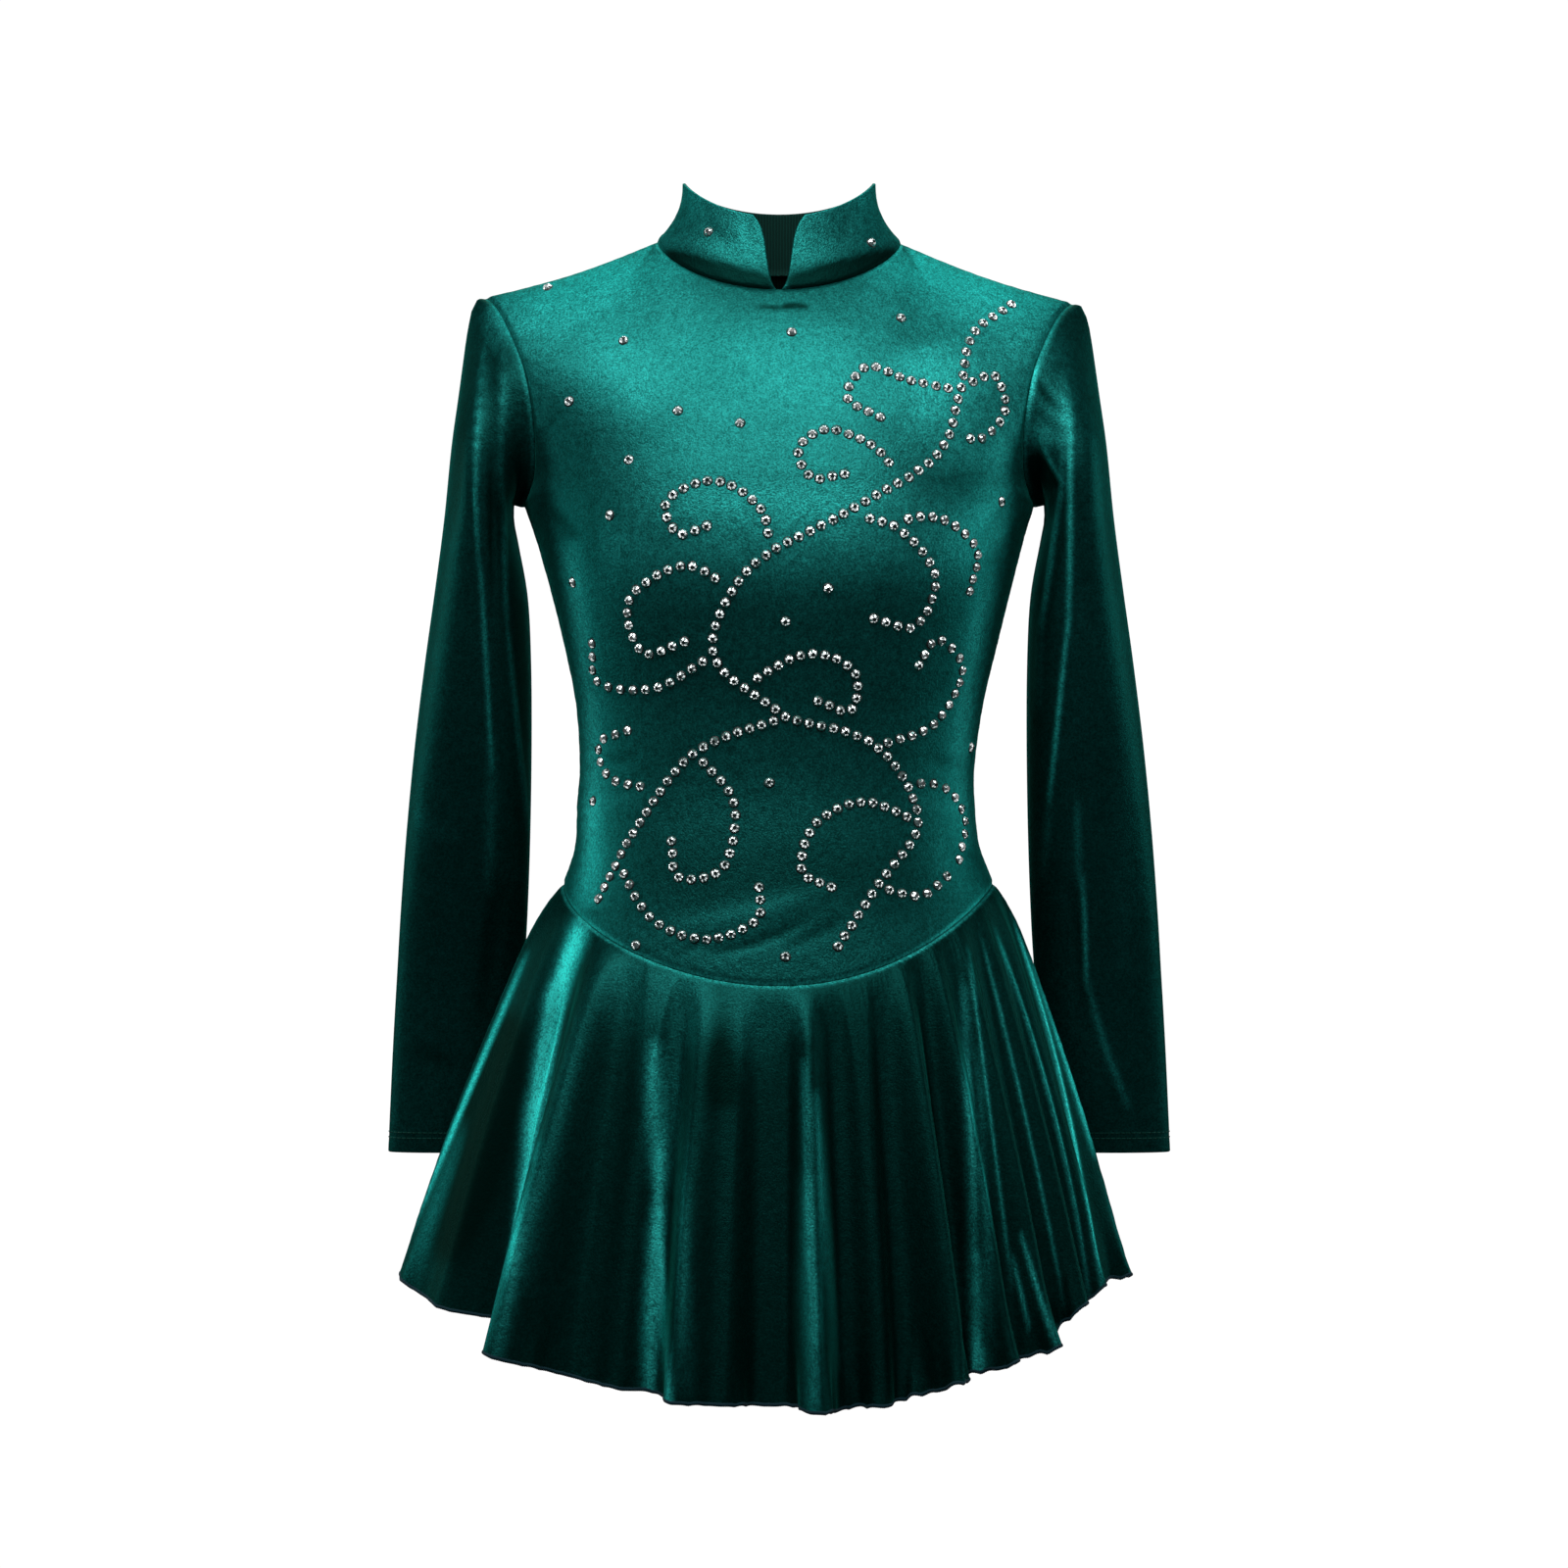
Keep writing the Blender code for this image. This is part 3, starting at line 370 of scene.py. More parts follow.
def node(tree, kind, settings=(), **inputs):
    """Adds a node with its settings and inputs."""
    made = tree.nodes.new(kind)
    for name, value in dict(settings).items():
        setattr(made, name, value)
    return feed(tree, made, **inputs)


def new_material(name):
    """A material, its nodes, its shader, and the place on the object that its textures read."""
    material = bpy.data.materials.new(name)
    material.use_nodes = True
    tree = material.node_tree
    place = node(tree, "ShaderNodeTexCoord").outputs["Object"]
    return material, tree, tree.nodes["Principled BSDF"], place


def velvet_pile():
    """Polyester stretch velvet: a short lustrous pile. Its base colour is painted nearly black
    where the pile stands and shade falls, and bright teal where it lies and highlights fall, with
    fine mottling where it was brushed."""
    material, tree, shader, place = new_material("stretch_velvet_pile")
    tufts, clumps, clouds = (
        node(
            tree, "ShaderNodeTexNoise",
            Vector=place, Scale=scale, Detail=detail, Roughness=roughness,
        ).outputs["Fac"]
        for scale, detail, roughness in (
            (TUFT_SCALE, 2.0, 0.6), (CLUMP_SCALE, 4.0, 0.7), (CLOUD_SCALE, 2.0, 0.5),
        )
    )
    painted_light = node(tree, "ShaderNodeAttribute", {"attribute_name": "painted_sheen"}).outputs["Fac"]
    # Each pattern scales the painted sheen and shade down where it is low, and up where it is high.
    for pattern, low, high, least, most in (
        (clumps, 0.32, 0.68, 0.74, 1.26),
        (clouds, 0.3, 0.7, 0.92, 1.08),
        (tufts, 0.32, 0.68, 0.55, 1.45),
    ):
        share = node(
            tree, "ShaderNodeMapRange", Value=pattern, _1=low, _2=high, _3=least, _4=most
        )
        painted_light = node(
            tree, "ShaderNodeMath", {"operation": "MULTIPLY"}, _0=painted_light, _1=share.outputs["Result"]
        ).outputs["Value"]
    # The base colour, painted from nearly black in shade to bright teal in highlight.
    tone = node(
        tree, "ShaderNodeMix", {"data_type": "RGBA"},
        _0=painted_light, _6=colour("#03231F"), _7=colour("#3FE8DF"),
    )
    gloss = node(tree, "ShaderNodeMapRange", Value=clumps, _1=0.3, _2=0.7, _3=0.44, _4=0.52)
    brushed = node(tree, "ShaderNodeBump", Height=clumps, Strength=0.25, Distance=0.001)
    pile = node(
        tree, "ShaderNodeBump",
        Height=tufts, Strength=0.35, Distance=0.0006, Normal=brushed.outputs["Normal"],
    )
    feed(
        tree, shader,
        Base_Color=tone.outputs[2],
        Roughness=gloss.outputs["Result"],
        Normal=pile.outputs["Normal"],
        Metallic=0.9,
        Specular_Tint=colour("#2C9F92"),
        Sheen_Weight=0.5,
        Sheen_Roughness=0.3,
        Sheen_Tint=colour("#1E9A8B"),
    )
    return material


def velvet_ground():
    """The wrong side of the velvet: a matt knitted ground of fine wales."""
    material, tree, shader, place = new_material("velvet_knit_ground")
    wales = node(
        tree, "ShaderNodeTexWave", {"bands_direction": "X"},
        Vector=place, Scale=WALE_SCALE, Distortion=0.6, Detail=1.0,
    ).outputs["Fac"]
    tone = node(
        tree, "ShaderNodeMix", {"data_type": "RGBA"},
        _0=wales, _6=colour("#04241F"), _7=colour("#07362F"),
    )
    relief = node(tree, "ShaderNodeBump", Height=wales, Strength=0.3, Distance=0.0003)
    feed(
        tree, shader,
        Base_Color=tone.outputs[2],
        Normal=relief.outputs["Normal"],
        Roughness=0.9,
        Specular_IOR_Level=0.15,
    )
    return material


def two_tone(name, scale, detail, dark, light, **looks):
    """A material mottled in two close tones. Also gives its nodes, its shader and its mottling."""
    material, tree, shader, place = new_material(name)
    patches = node(tree, "ShaderNodeTexNoise", Vector=place, Scale=scale, Detail=detail)
    tone = node(
        tree, "ShaderNodeMix", {"data_type": "RGBA"},
        _0=patches.outputs["Fac"], _6=colour(dark), _7=colour(light),
    )
    feed(tree, shader, Base_Color=tone.outputs[2], **looks)
    return material, tree, shader, patches.outputs["Fac"]


def spun_thread(name, dark, light):
    """Spun polyester thread: a dull shine broken by its twist."""
    material, tree, shader, fibres = two_tone(
        name, FIBRE_SCALE, 2.0, dark, light,
        Roughness=0.7, Specular_IOR_Level=0.15, Sheen_Weight=0.1,
    )
    twist = node(tree, "ShaderNodeBump", Height=fibres, Strength=0.4, Distance=0.0002)
    feed(tree, shader, Normal=twist.outputs["Normal"])
    return material


def foiled_glass():
    """Clear glass with a silver foil behind it: each facet is a small mirror, white or dark."""
    return two_tone(
        "foiled_glass", GLINT_SCALE, 1.0, "#D9E4E4", "#FBFFFF",
        Metallic=0.9, Roughness=0.0, Coat_Weight=0.5, Coat_Roughness=0.0,
    )[0]


def table_glass():
    """The stone's table, which faces the dark room and lets the eye into the glass."""
    return two_tone("dark_table_glass", GLINT_SCALE, 1.0, "#0A0D0D", "#2A3635", Roughness=0.0)[0]


def foil_edge_and_painted_shadow():
    """The lacquered back of the foil, with a painted shadow, which shows as a dark line round each
    stone.
    """
    return two_tone(
        "foil_edge_with_painted_shadow", STONE_RIM_SCALE, 2.0, "#050909", "#161F1F", Roughness=0.45
    )[0]


def pale_floor():
    """A matt painted studio floor that glows evenly, so that it is pale all over."""
    return two_tone(
        "pale_floor", FLOOR_SCALE, 3.0, "#E6E6E4", "#EFEFED",
        Roughness=0.9, Emission_Color=colour("#F4F4F2"), Emission_Strength=0.7,
    )[0]


VELVET = (velvet_pile(), velvet_ground())
OVERLOCK = spun_thread("overlock_thread", "#0A2A33", "#123F4B")
SEWING = spun_thread("sewing_thread", "#0A483E", "#146154")
STONE_FINISH = (foiled_glass(), table_glass(), foil_edge_and_painted_shadow())


# Surfaces.


def between(low, high, share):
    return low + (high - low) * share


def xyz(x, y, z):
    return np.stack([x, y, z], axis=-1)


def hump(distance, width):
    """A soft bump: 1 where the distance is 0, and nearly 0 beyond twice the width."""
    return np.exp(-((distance / width) ** 2))


def unit(vectors):
    return vectors / np.maximum(np.linalg.norm(vectors, axis=-1, keepdims=True), TINY**2)


def bend(before, start, end, after, t):
    """A smooth curve from the start to the end, at a share t of the way."""
    return (
        start * 2
        + (end - before) * t
        + (before * 2 - start * 5 + end * 4 - after) * t**2
        + (start * 3 - before - end * 3 + after) * t**3
    ) / 2


def knots_at(knots, place):
    """The knot cell of each place, and the four knots that shape it. knots run along axis 0."""
    last = len(knots) - 1
    longer = np.concatenate([knots[:1] * 2 - knots[1:2], knots, knots[-1:] * 2 - knots[-2:-1]])
    cell = np.clip(place.astype(int), 0, last - 1)
    column = np.arange(place.size)
    return cell, [longer[cell + k, column] for k in range(4)]


def spline(knots, place):
    cell, four = knots_at(knots, place)
    return bend(*four, (place - cell)[:, None])


def top_edge(across, neck):
    """The upper edge of a panel: the neck seam from the centre out, then the shoulder seam."""
    reach = np.abs(across)
    turn = math.pi / 2 * np.minimum(reach / NECK_SHARE, 1)
    neckline = xyz(
        NECK_SIDE[0] * np.sin(turn),
        between(NECK_SIDE[1], neck[0], np.cos(turn)),
        between(NECK_SIDE[2], neck[1], np.cos(turn) ** NECK_DIP),
    )
    run = (reach - NECK_SHARE) / (1 - NECK_SHARE)
    shoulder = between(NECK_SIDE, SHOULDER_TIP, run[:, None])
    shoulder[:, 2] -= SHOULDER_SAG * np.sin(math.pi * np.minimum(run, 1))
    point = np.where((reach <= NECK_SHARE)[:, None], neckline, shoulder)
    point[:, 0] *= np.copysign(1, across)
    return point


def level_points(row, across, neck):
    """Points of one level: across is -1 at one edge, 0 at the centre line and 1 at the other."""
    sweep = math.radians(row.sweep)
    turn = across * sweep
    x = row.edge_x * np.sin(turn) / math.sin(sweep)
    inward = np.maximum(0, (np.cos(turn) - math.cos(sweep)) / (1 - math.cos(sweep)))
    y = between(row.edge_y, row.mid_y, inward**SECTION_FULLNESS)
    z = between(row.edge_z, row.mid_z, inward ** between(*LEVEL_CURVE, (1 + across) / 2))
    y -= row.bust * hump(np.abs(x) - BUST_X, BUST_SPREAD) * np.minimum(1, inward / BUST_END)
    point = xyz(x, y, z)
    if row.top:
        spread = TOP_SOFTENING * (1 - row.top)
        shifts = np.linspace(-spread, spread, 2 * TOP_SAMPLES + 1)
        eased = sum(top_edge(across + shift, neck) for shift in shifts) / len(shifts)
        point = between(point, eased, row.top)
        point[:, 2] -= SHOULDER_TILT * row.top * across * np.abs(across)
    return point


def panel_levels(front):
    """The levels of the front or back panel, from the basque seam to the neck and shoulder."""
    rows = []
    for level in BODY:
        mid = (level.front_y, level.front_z) if front else (level.back_y, level.back_z)
        bust = level.bust if front else 0
        row = Chest(level.side_x, 0, level.side_z, 90, mid[0], mid[1], bust, 0)
        rows.append((row, level.sway))
    rows += [(row, 0) for row in (FRONT_CHEST if front else BACK_CHEST)]
    return rows


FRONT_LEVELS = panel_levels(True)
BACK_LEVELS = panel_levels(False)


def panel(across, up, front):
    """One panel's surface, for flat arrays of places."""
    levels, others = (FRONT_LEVELS, BACK_LEVELS) if front else (BACK_LEVELS, FRONT_LEVELS)
    neck = NECK_FRONT if front else NECK_BACK
    knots = np.stack([level_points(row, across, neck) + (sway, 0, 0) for row, sway in levels])
    cell, (before, start, end, after) = knots_at(knots, up)
    corner = (np.abs(across) ** UNDERARM_CORNER)[:, None]
    out_from_neck = np.maximum(0, (np.abs(across) - NECK_SHARE) / (1 - NECK_SHARE))[:, None]
    under = level_points(others[UNDERARM + 1][0], across, neck)
    over = level_points(others[TOP - 1][0], across, neck)
    below_arm, above_arm, at_top = (
        (cell == place)[:, None] for place in (UNDERARM - 1, UNDERARM, TOP - 1)
    )
    after = np.where(below_arm, between(after, end * 2 - start, corner), after)
    before = np.where(above_arm, between(before, under, corner), before)
    after = np.where(at_top, between(after, over, out_from_neck**SHOULDER_ROUNDING), after)
    return bend(before, start, end, after, (up - cell)[:, None])


def bodice(across, up, front):
    """The bodice's surface: across from edge to edge, up counted in levels, front or back."""
    across, up, front = np.broadcast_arrays(across * 1.0, up * 1.0, front)
    flat = [across.ravel(), up.ravel()]
    chosen = np.where(front.ravel()[:, None], panel(*flat, True), panel(*flat, False))
    return chosen.reshape(across.shape + (3,))


def rounded(value):
    return np.copysign(np.abs(value) ** (2 / SLEEVE_SQUARENESS), value)


def sleeve(side, round_it, down):
    """A sleeve's surface: round_it is 0 at the underarm, 1 at the top by the front, and 2 again at
    the underarm; down is counted in knots from the armhole."""
    side, round_it, down = np.broadcast_arrays(side * 1.0, round_it * 1.0, down * 1.0)
    shape = side.shape
    side, round_it, down = side.ravel(), round_it.ravel(), down.ravel()
    turn = math.pi * round_it
    inward = rounded(np.cos(turn))
    forward = rounded(np.sin(turn))
    front = round_it <= 1
    climb = np.where(front, round_it, 2 - round_it)
    seam = bodice(side, between(UNDERARM, TOP, climb), front)
    drop = between(HEAD_DROP_AT_UNDERARM, HEAD_DROP_AT_TIP, (1 - np.cos(turn)) / 2)
    knots = [seam, seam + xyz(side * HEAD_OUT, drop * 0, -drop)]
    for ring in SLEEVE:
        x = side * between(ring.outer_x, ring.inner_x, (1 + inward) / 2)
        y = between(ring.back_y, ring.front_y, (1 + forward) / 2)
        z = between(ring.outer_z, ring.inner_z, (1 + inward) / 2)
        knots.append(xyz(x, y, z))
    return spline(np.stack(knots), down).reshape(shape + (3,))


def collar(turn, up):
    """The collar's surface: turn in radians from the centre front, up from 0 at the neck seam."""
    turn, up = np.broadcast_arrays(turn * 1.0, up * 1.0)
    at_foot, at_corner, share = NOTCH_CURVE
    opening = NOTCH_TOP * between(up**at_foot, up**at_corner, share)
    turn = turn + np.copysign(opening * (1 - np.abs(turn) / math.pi), turn)
    across, front = panel_place(turn)
    foot = bodice(across * NECK_SHARE, TOP, front)
    face = np.abs(np.cos(turn))
    top_y = np.where(front, COLLAR_TOP_FRONT[0], COLLAR_TOP_BACK[0])
    top_z = np.where(front, COLLAR_TOP_FRONT[1], COLLAR_TOP_BACK[1])
    edge_x = COLLAR_TOP_X * np.sin(turn)
    edge_z = between(COLLAR_TOP_SIDE_Z, top_z, face**COLLAR_DIP)
    tuck = 1 - (1 - up) ** COLLAR_HOLLOW
    return xyz(
        between(foot[..., 0], edge_x, tuck),
        between(foot[..., 1], top_y * face, between(up, tuck, COLLAR_SET_IN)),
        between(foot[..., 2], edge_z, up),
    )


def panel_place(turn):
    """The place across a panel that lies at a turn round the body, and whether it is the front."""
    front = np.abs(turn) <= math.pi / 2 + TINY
    reach = np.where(front, np.abs(turn), math.pi - np.abs(turn))
    return np.copysign(np.minimum(1, reach / (math.pi / 2)), turn), front


def fold_at(turn, down):
    """How far a fold moves the skirt out and down, at a turn and a share of its fall."""
    degrees = np.degrees(turn)
    after = np.searchsorted(FOLDS[:, 0], degrees, side="right") % len(FOLDS)
    first, second = FOLDS[after - 1], FOLDS[after]
    share = ((degrees - first[..., 0]) % 360) / ((second[..., 0] - first[..., 0]) % 360)
    eased = (1 - np.cos(math.pi * share)) / 2
    rising = second[..., 1] > first[..., 1]
    eased = np.where(rising, eased**FOLD_CREST, 1 - (1 - eased) ** FOLD_CREST)
    mixed = between(first, second, eased[..., None])
    grown = np.maximum(0, (down - mixed[..., 3]) / (1 - mixed[..., 3])) ** FOLD_GROWTH
    return mixed[..., 1] * grown, mixed[..., 2] * grown


def wrapped(turn):
    return (turn + math.pi) % math.tau - math.pi


def skirt(turn, down):
    """The skirt's surface: turn in radians from the centre front, down as a share of its fall."""
    turn, down = np.broadcast_arrays(wrapped(turn), down * 1.0)
    across, front = panel_place(turn)
    seam = bodice(across, 0, front)
    knots = np.array(SKIRT_FALL)[:, None, :].repeat(down.size, axis=1)
    fall = spline(knots, down.ravel() * (len(SKIRT_FALL) - 1)).reshape(down.shape + (2,))
    deep = np.where(front, -BODY[0].front_y, BODY[0].back_y)
    outward = unit(xyz(np.sin(turn) / BODY[0].side_x, -np.cos(turn) / deep, turn * 0))
    to_left = np.sin(turn)
    side_flare = np.where(to_left > 0, FLARE_LEFT_SIDE, FLARE_RIGHT_SIDE)
    flare = between(FLARE_MIDDLE, side_flare, to_left**2)
    out, drop = fold_at(turn, down)
    point = seam + outward * (fall[..., 1] * flare + out)[..., None]
    point[..., 2] -= fall[..., 0] + drop
    return point


def slope(surface, place, low, high):
    """How a surface runs as its number grows, read between the number's limits."""
    step = STEP * (high - low)
    return surface(np.minimum(place + step, high)) - surface(np.maximum(place - step, low))


def slopes(surface, first, second, first_limits, second_limits):
    """How a surface runs along its first and its second number."""
    return (
        slope(lambda at: surface(at, second), first, *first_limits),
        slope(lambda at: surface(first, at), second, *second_limits),
    )


def bodice_normal(across, up, front):
    along, beyond = slopes(lambda a, b: bodice(a, b, front), across, up, (-1, 1), (0, TOP))
    return unit(np.cross(along, beyond)) * np.where(front, 1, -1)[..., None]


def sleeve_normal(side, round_it, down):
    step = STEP * 2
    along = sleeve(side, (round_it + step) % 2, down) - sleeve(side, (round_it - step) % 2, down)
    beyond = slope(lambda at: sleeve(side, round_it, at), down, 0, SLEEVE_KNOTS)
    return unit(np.cross(beyond, along)) * (side + 0 * round_it)[..., None]


def collar_normal(turn, up):
    limits = np.where(turn > 0, STEP, -math.pi), np.where(turn > 0, math.pi, -STEP)
    return unit(np.cross(*slopes(collar, turn, up, limits, (0, 1))))


def skirt_normal(turn, down):
    along, beyond = slopes(skirt, turn, down, (-math.tau, math.tau), (0, 1))
    return -unit(np.cross(along, beyond))


def seam_normal(across, up, front):
    """Along a bodice panel's edge, the one direction that the walls of all sewn pieces share."""
    across, up, front = np.broadcast_arrays(across * 1.0, up * 1.0, front)
    at_side = np.abs(across) > 1 - TINY
    at_top = up > TOP - TINY
    climb = np.maximum(0, (up - UNDERARM) / (TOP - UNDERARM))
    turns = [across * math.pi / 2, np.clip(across / NECK_SHARE, -1, 1) * math.pi / 2]
    around, neck_around = (
        np.where(front, turn, np.copysign(math.pi, turn) - turn) for turn in turns
    )
    twin = (at_side & (up < UNDERARM + TINY)) | (at_top & (np.abs(across) > NECK_SHARE - TINY))
    arm = at_side & (up > UNDERARM - TINY)
    neck = at_top & (np.abs(across) < NECK_SHARE + TINY)
    side = np.copysign(1, across)
    sewn = bodice_normal(across, up, front)
    sewn = sewn + bodice_normal(across, up, ~front) * twin[..., None]
    sewn += sleeve_normal(side, np.where(front, climb, 2 - climb), 0 * up) * arm[..., None]
    sewn += skirt_normal(around, 0 * up) * (up < TINY)[..., None]
    sewn += collar_normal(neck_around, 0 * up) * neck[..., None]
    return unit(sewn)


def spread(length, ends, cell):
    """Shares of a length for the rows of a mesh: even, and finer near the ends that are named."""
    even = np.linspace(0, 1, round(length / cell) + 1)
    fine = np.array((0, *EDGE_CELLS)) / length
    if "first" in ends:
        even = np.concatenate([fine, even[even > fine[-1] * EDGE_CLEAR]])
    if "last" in ends:
        even = np.concatenate([even[even < 1 - fine[-1] * EDGE_CLEAR], 1 - fine[::-1]])
    return even


def run_along(line):
    """Each point's distance from the line's first point, along the line."""
    return np.concatenate([[0], np.cumsum(np.linalg.norm(np.diff(line, axis=0), axis=-1))])


def evenly(path, places, ends=("first", "last"), cell=CLOTH_CELL):
    """Places along a path, so that equal steps are equal lengths of cloth."""
    run = run_along(path(places))
    return np.interp(spread(run[-1], ends, cell) * run[-1], run, places)


def distances(points, axis):
    """Each point's distance along its grid line from the line's first and last point."""
    steps = np.linalg.norm(np.diff(points, axis=axis), axis=-1)
    run = np.concatenate([np.zeros_like(steps.take([0], axis)), np.cumsum(steps, axis=axis)], axis)
    return run, run.take([-1], axis) - run


def crease_marks(points, normals, creases):
    """How far the creases lift each point, and the painted highlight or shade that they put on it.
    """
    lift = np.zeros(points.shape[:-1])
    painted_light = np.zeros(points.shape[:-1])
    x, z = points[..., 0], points[..., 2]
    for crease in creases:
        start = np.array((crease.x0, crease.z0)) / 1000
        chord = np.array((crease.x1, crease.z1)) / 1000 - start
        length = np.linalg.norm(chord)
        chord = chord / length
        along = ((x - start[0]) * chord[0] + (z - start[1]) * chord[1]) / length
        aside = (x - start[0]) * chord[1] - (z - start[1]) * chord[0]
        inside = np.clip(along, 0, 1)
        aside = aside - crease.bow / 1000 * 4 * inside * (1 - inside)
        taper = np.sin(math.pi * inside) ** CREASE_TAPER
        facing = np.clip(-normals[..., 1] * crease.side * CREASE_FACING, 0, 1)
        form = hump(aside * 1000, crease.width) * taper * facing
        lift += crease.height / 1000 * form
        painted_light += crease.shine * form
    return lift, painted_light


# The edges of a grid of points: each one's own points, and those next to them.
EDGES = {
    "first_row": (np.s_[0, :], np.s_[1, :]),
    "last_row": (np.s_[-1, :], np.s_[-2, :]),
    "first_column": (np.s_[:, 0], np.s_[:, 1]),
    "last_column": (np.s_[:, -1], np.s_[:, -2]),
}
Cloth = namedtuple("Cloth", "piece centre outward outer to_edge")


def add_object(name, data):
    made = bpy.data.objects.new(name, data)
    bpy.context.scene.collection.objects.link(made)
    return made


def new_piece(name, vertices, faces, materials):
    mesh = bpy.data.meshes.new(name)
    mesh.from_pydata(np.asarray(vertices).reshape(-1, 3).tolist(), [], faces)
    for material in materials:
        mesh.materials.append(material)
    return add_object(name, mesh)


def cloth(
    name, points, normals, seams, free, creases, painted_sheen,
    wall=WALL, tube=False, relief=0, seam_highlight=0,
):
    """A closed wall of cloth about a grid of points.

    seams maps an edge to the directions that its sewn walls share, and free names the edges that
    are folded or cut. A tube's last column meets its first. seam_highlight is painted beside the
    first row.
    """
    rows, columns = points.shape[:2]
    away = dict(zip(EDGES, (*distances(points, 0), *distances(points, 1))))

    direction = normals.copy()
    pull = {edge: hump(away[edge], SEAM_BLEND) for edge in seams}
    total = np.maximum(1, sum(pull.values(), np.zeros((rows, columns))))
    for edge, shared in seams.items():
        direction += (shared - normals) * (pull[edge] / total)[..., None]
    direction = unit(direction)
    to_seam = np.min([away[edge] for edge in seams], axis=0)
    to_edge = np.min([away[edge] for edge in free], axis=0) if free else np.full_like(to_seam, 1.0)

    roll = -SEAM_ROLL * hump(to_seam, SEAM_ROLL_WIDTH)
    ripple_at = points @ PUCKER_RUN * math.tau / PUCKER_PITCH
    ripple = np.sin(ripple_at) * np.sin(ripple_at * PUCKER_BEAT + 1)
    beside = (to_seam / PUCKER_REACH) * np.exp(1 - to_seam / PUCKER_REACH)
    fade = 1 - hump(to_seam, CREASE_FADE)
    lift, painted_light = crease_marks(points, normals, creases)
    raised = (lift + relief) * fade + roll + PUCKER * ripple * beside
    # Paint a highlight beside the first row's seam.
    painted_light += seam_highlight * hump(away["first_row"] - SEAM_HIGHLIGHT_AT, SEAM_HIGHLIGHT_WIDTH)

    centre = points + direction * raised[..., None]
    for edge in seams:
        here, beyond = EDGES[edge]
        centre[here] += unit(points[beyond] - points[here]) * SEAM_GAP / 2
    round_off = np.sqrt(1 - np.clip(1 - to_edge / EDGE_ROUND, 0, EDGE_LIMIT) ** 2)
    lean = np.maximum(MITRE_LIMIT, np.sum(direction * normals, axis=-1))
    half = direction * (wall / 2 * round_off / lean)[..., None]
    outer, inner = centre + half, centre - half

    index = np.arange(rows * columns).reshape(rows, columns)
    if tube:
        index = np.concatenate([index, index[:, :1]], axis=1)
    quads = np.stack([index[:-1, :-1], index[:-1, 1:], index[1:, 1:], index[1:, :-1]], axis=-1)
    quads = quads.reshape(-1, 4)
    rims = [index[0], index[-1][::-1]]
    if not tube:
        rims += [index[::-1, 0], index[:, -1]]
    i, j = rows // 2, columns // 2
    crossed = np.cross(points[i, j + 1] - points[i, j], points[i + 1, j] - points[i, j])
    if np.dot(crossed, normals[i, j]) < 0:
        quads = quads[:, ::-1]
        rims = [rim[::-1] for rim in rims]
    lower = rows * columns
    faces = [quads, quads[:, ::-1] + lower]
    for rim in rims:
        faces.append(np.stack([rim[1:], rim[:-1], rim[:-1] + lower, rim[1:] + lower], axis=-1))
    piece = new_piece(name, np.stack([outer, inner]), np.concatenate(faces).tolist(), VELVET)
    mesh = piece.data
    sides = np.zeros(len(mesh.polygons), dtype=np.int32)
    sides[len(quads) : 2 * len(quads)] = 1
    mesh.polygons.foreach_set("material_index", sides)
    # The painted sheen and shade of each point, kept on the mesh for the velvet's base colour.
    sheen_level = np.clip(painted_sheen + painted_light, 0, 1).ravel()
    attribute = mesh.attributes.new("painted_sheen", "FLOAT", "POINT")
    attribute.data.foreach_set("value", np.concatenate([sheen_level, sheen_level]))
    mesh.shade_smooth()
    mesh.update()
    return Cloth(piece, centre, direction, outer, to_edge)


def make_bodice(front):
    """The front or back panel, from the basque seam to the neck, shoulders and armholes."""
    ups = evenly(lambda up: bodice(0.5, up, front), np.linspace(0, TOP, 400))
    middle = evenly(lambda across: bodice(across, 5.0, front), np.linspace(-1, 1, 400))
    across, up = np.meshgrid(middle, ups)
    points = bodice(across, up, front)
    normals = bodice_normal(across, up, front)
    seams = {
        "first_row": seam_normal(middle, 0.0, front)[None],
        "last_row": seam_normal(middle, TOP * 1.0, front)[None],
        "first_column": seam_normal(-1.0, ups, front)[:, None],
        "last_column": seam_normal(1.0, ups, front)[:, None],
    }
    name = "velvet_bodice_front" if front else "velvet_bodice_back"
    return cloth(
        name, points, normals, seams, (), BODICE_CREASES, BODICE_PAINTED_SHEEN, seam_highlight=SEAM_PAINTED_HIGHLIGHT
    )


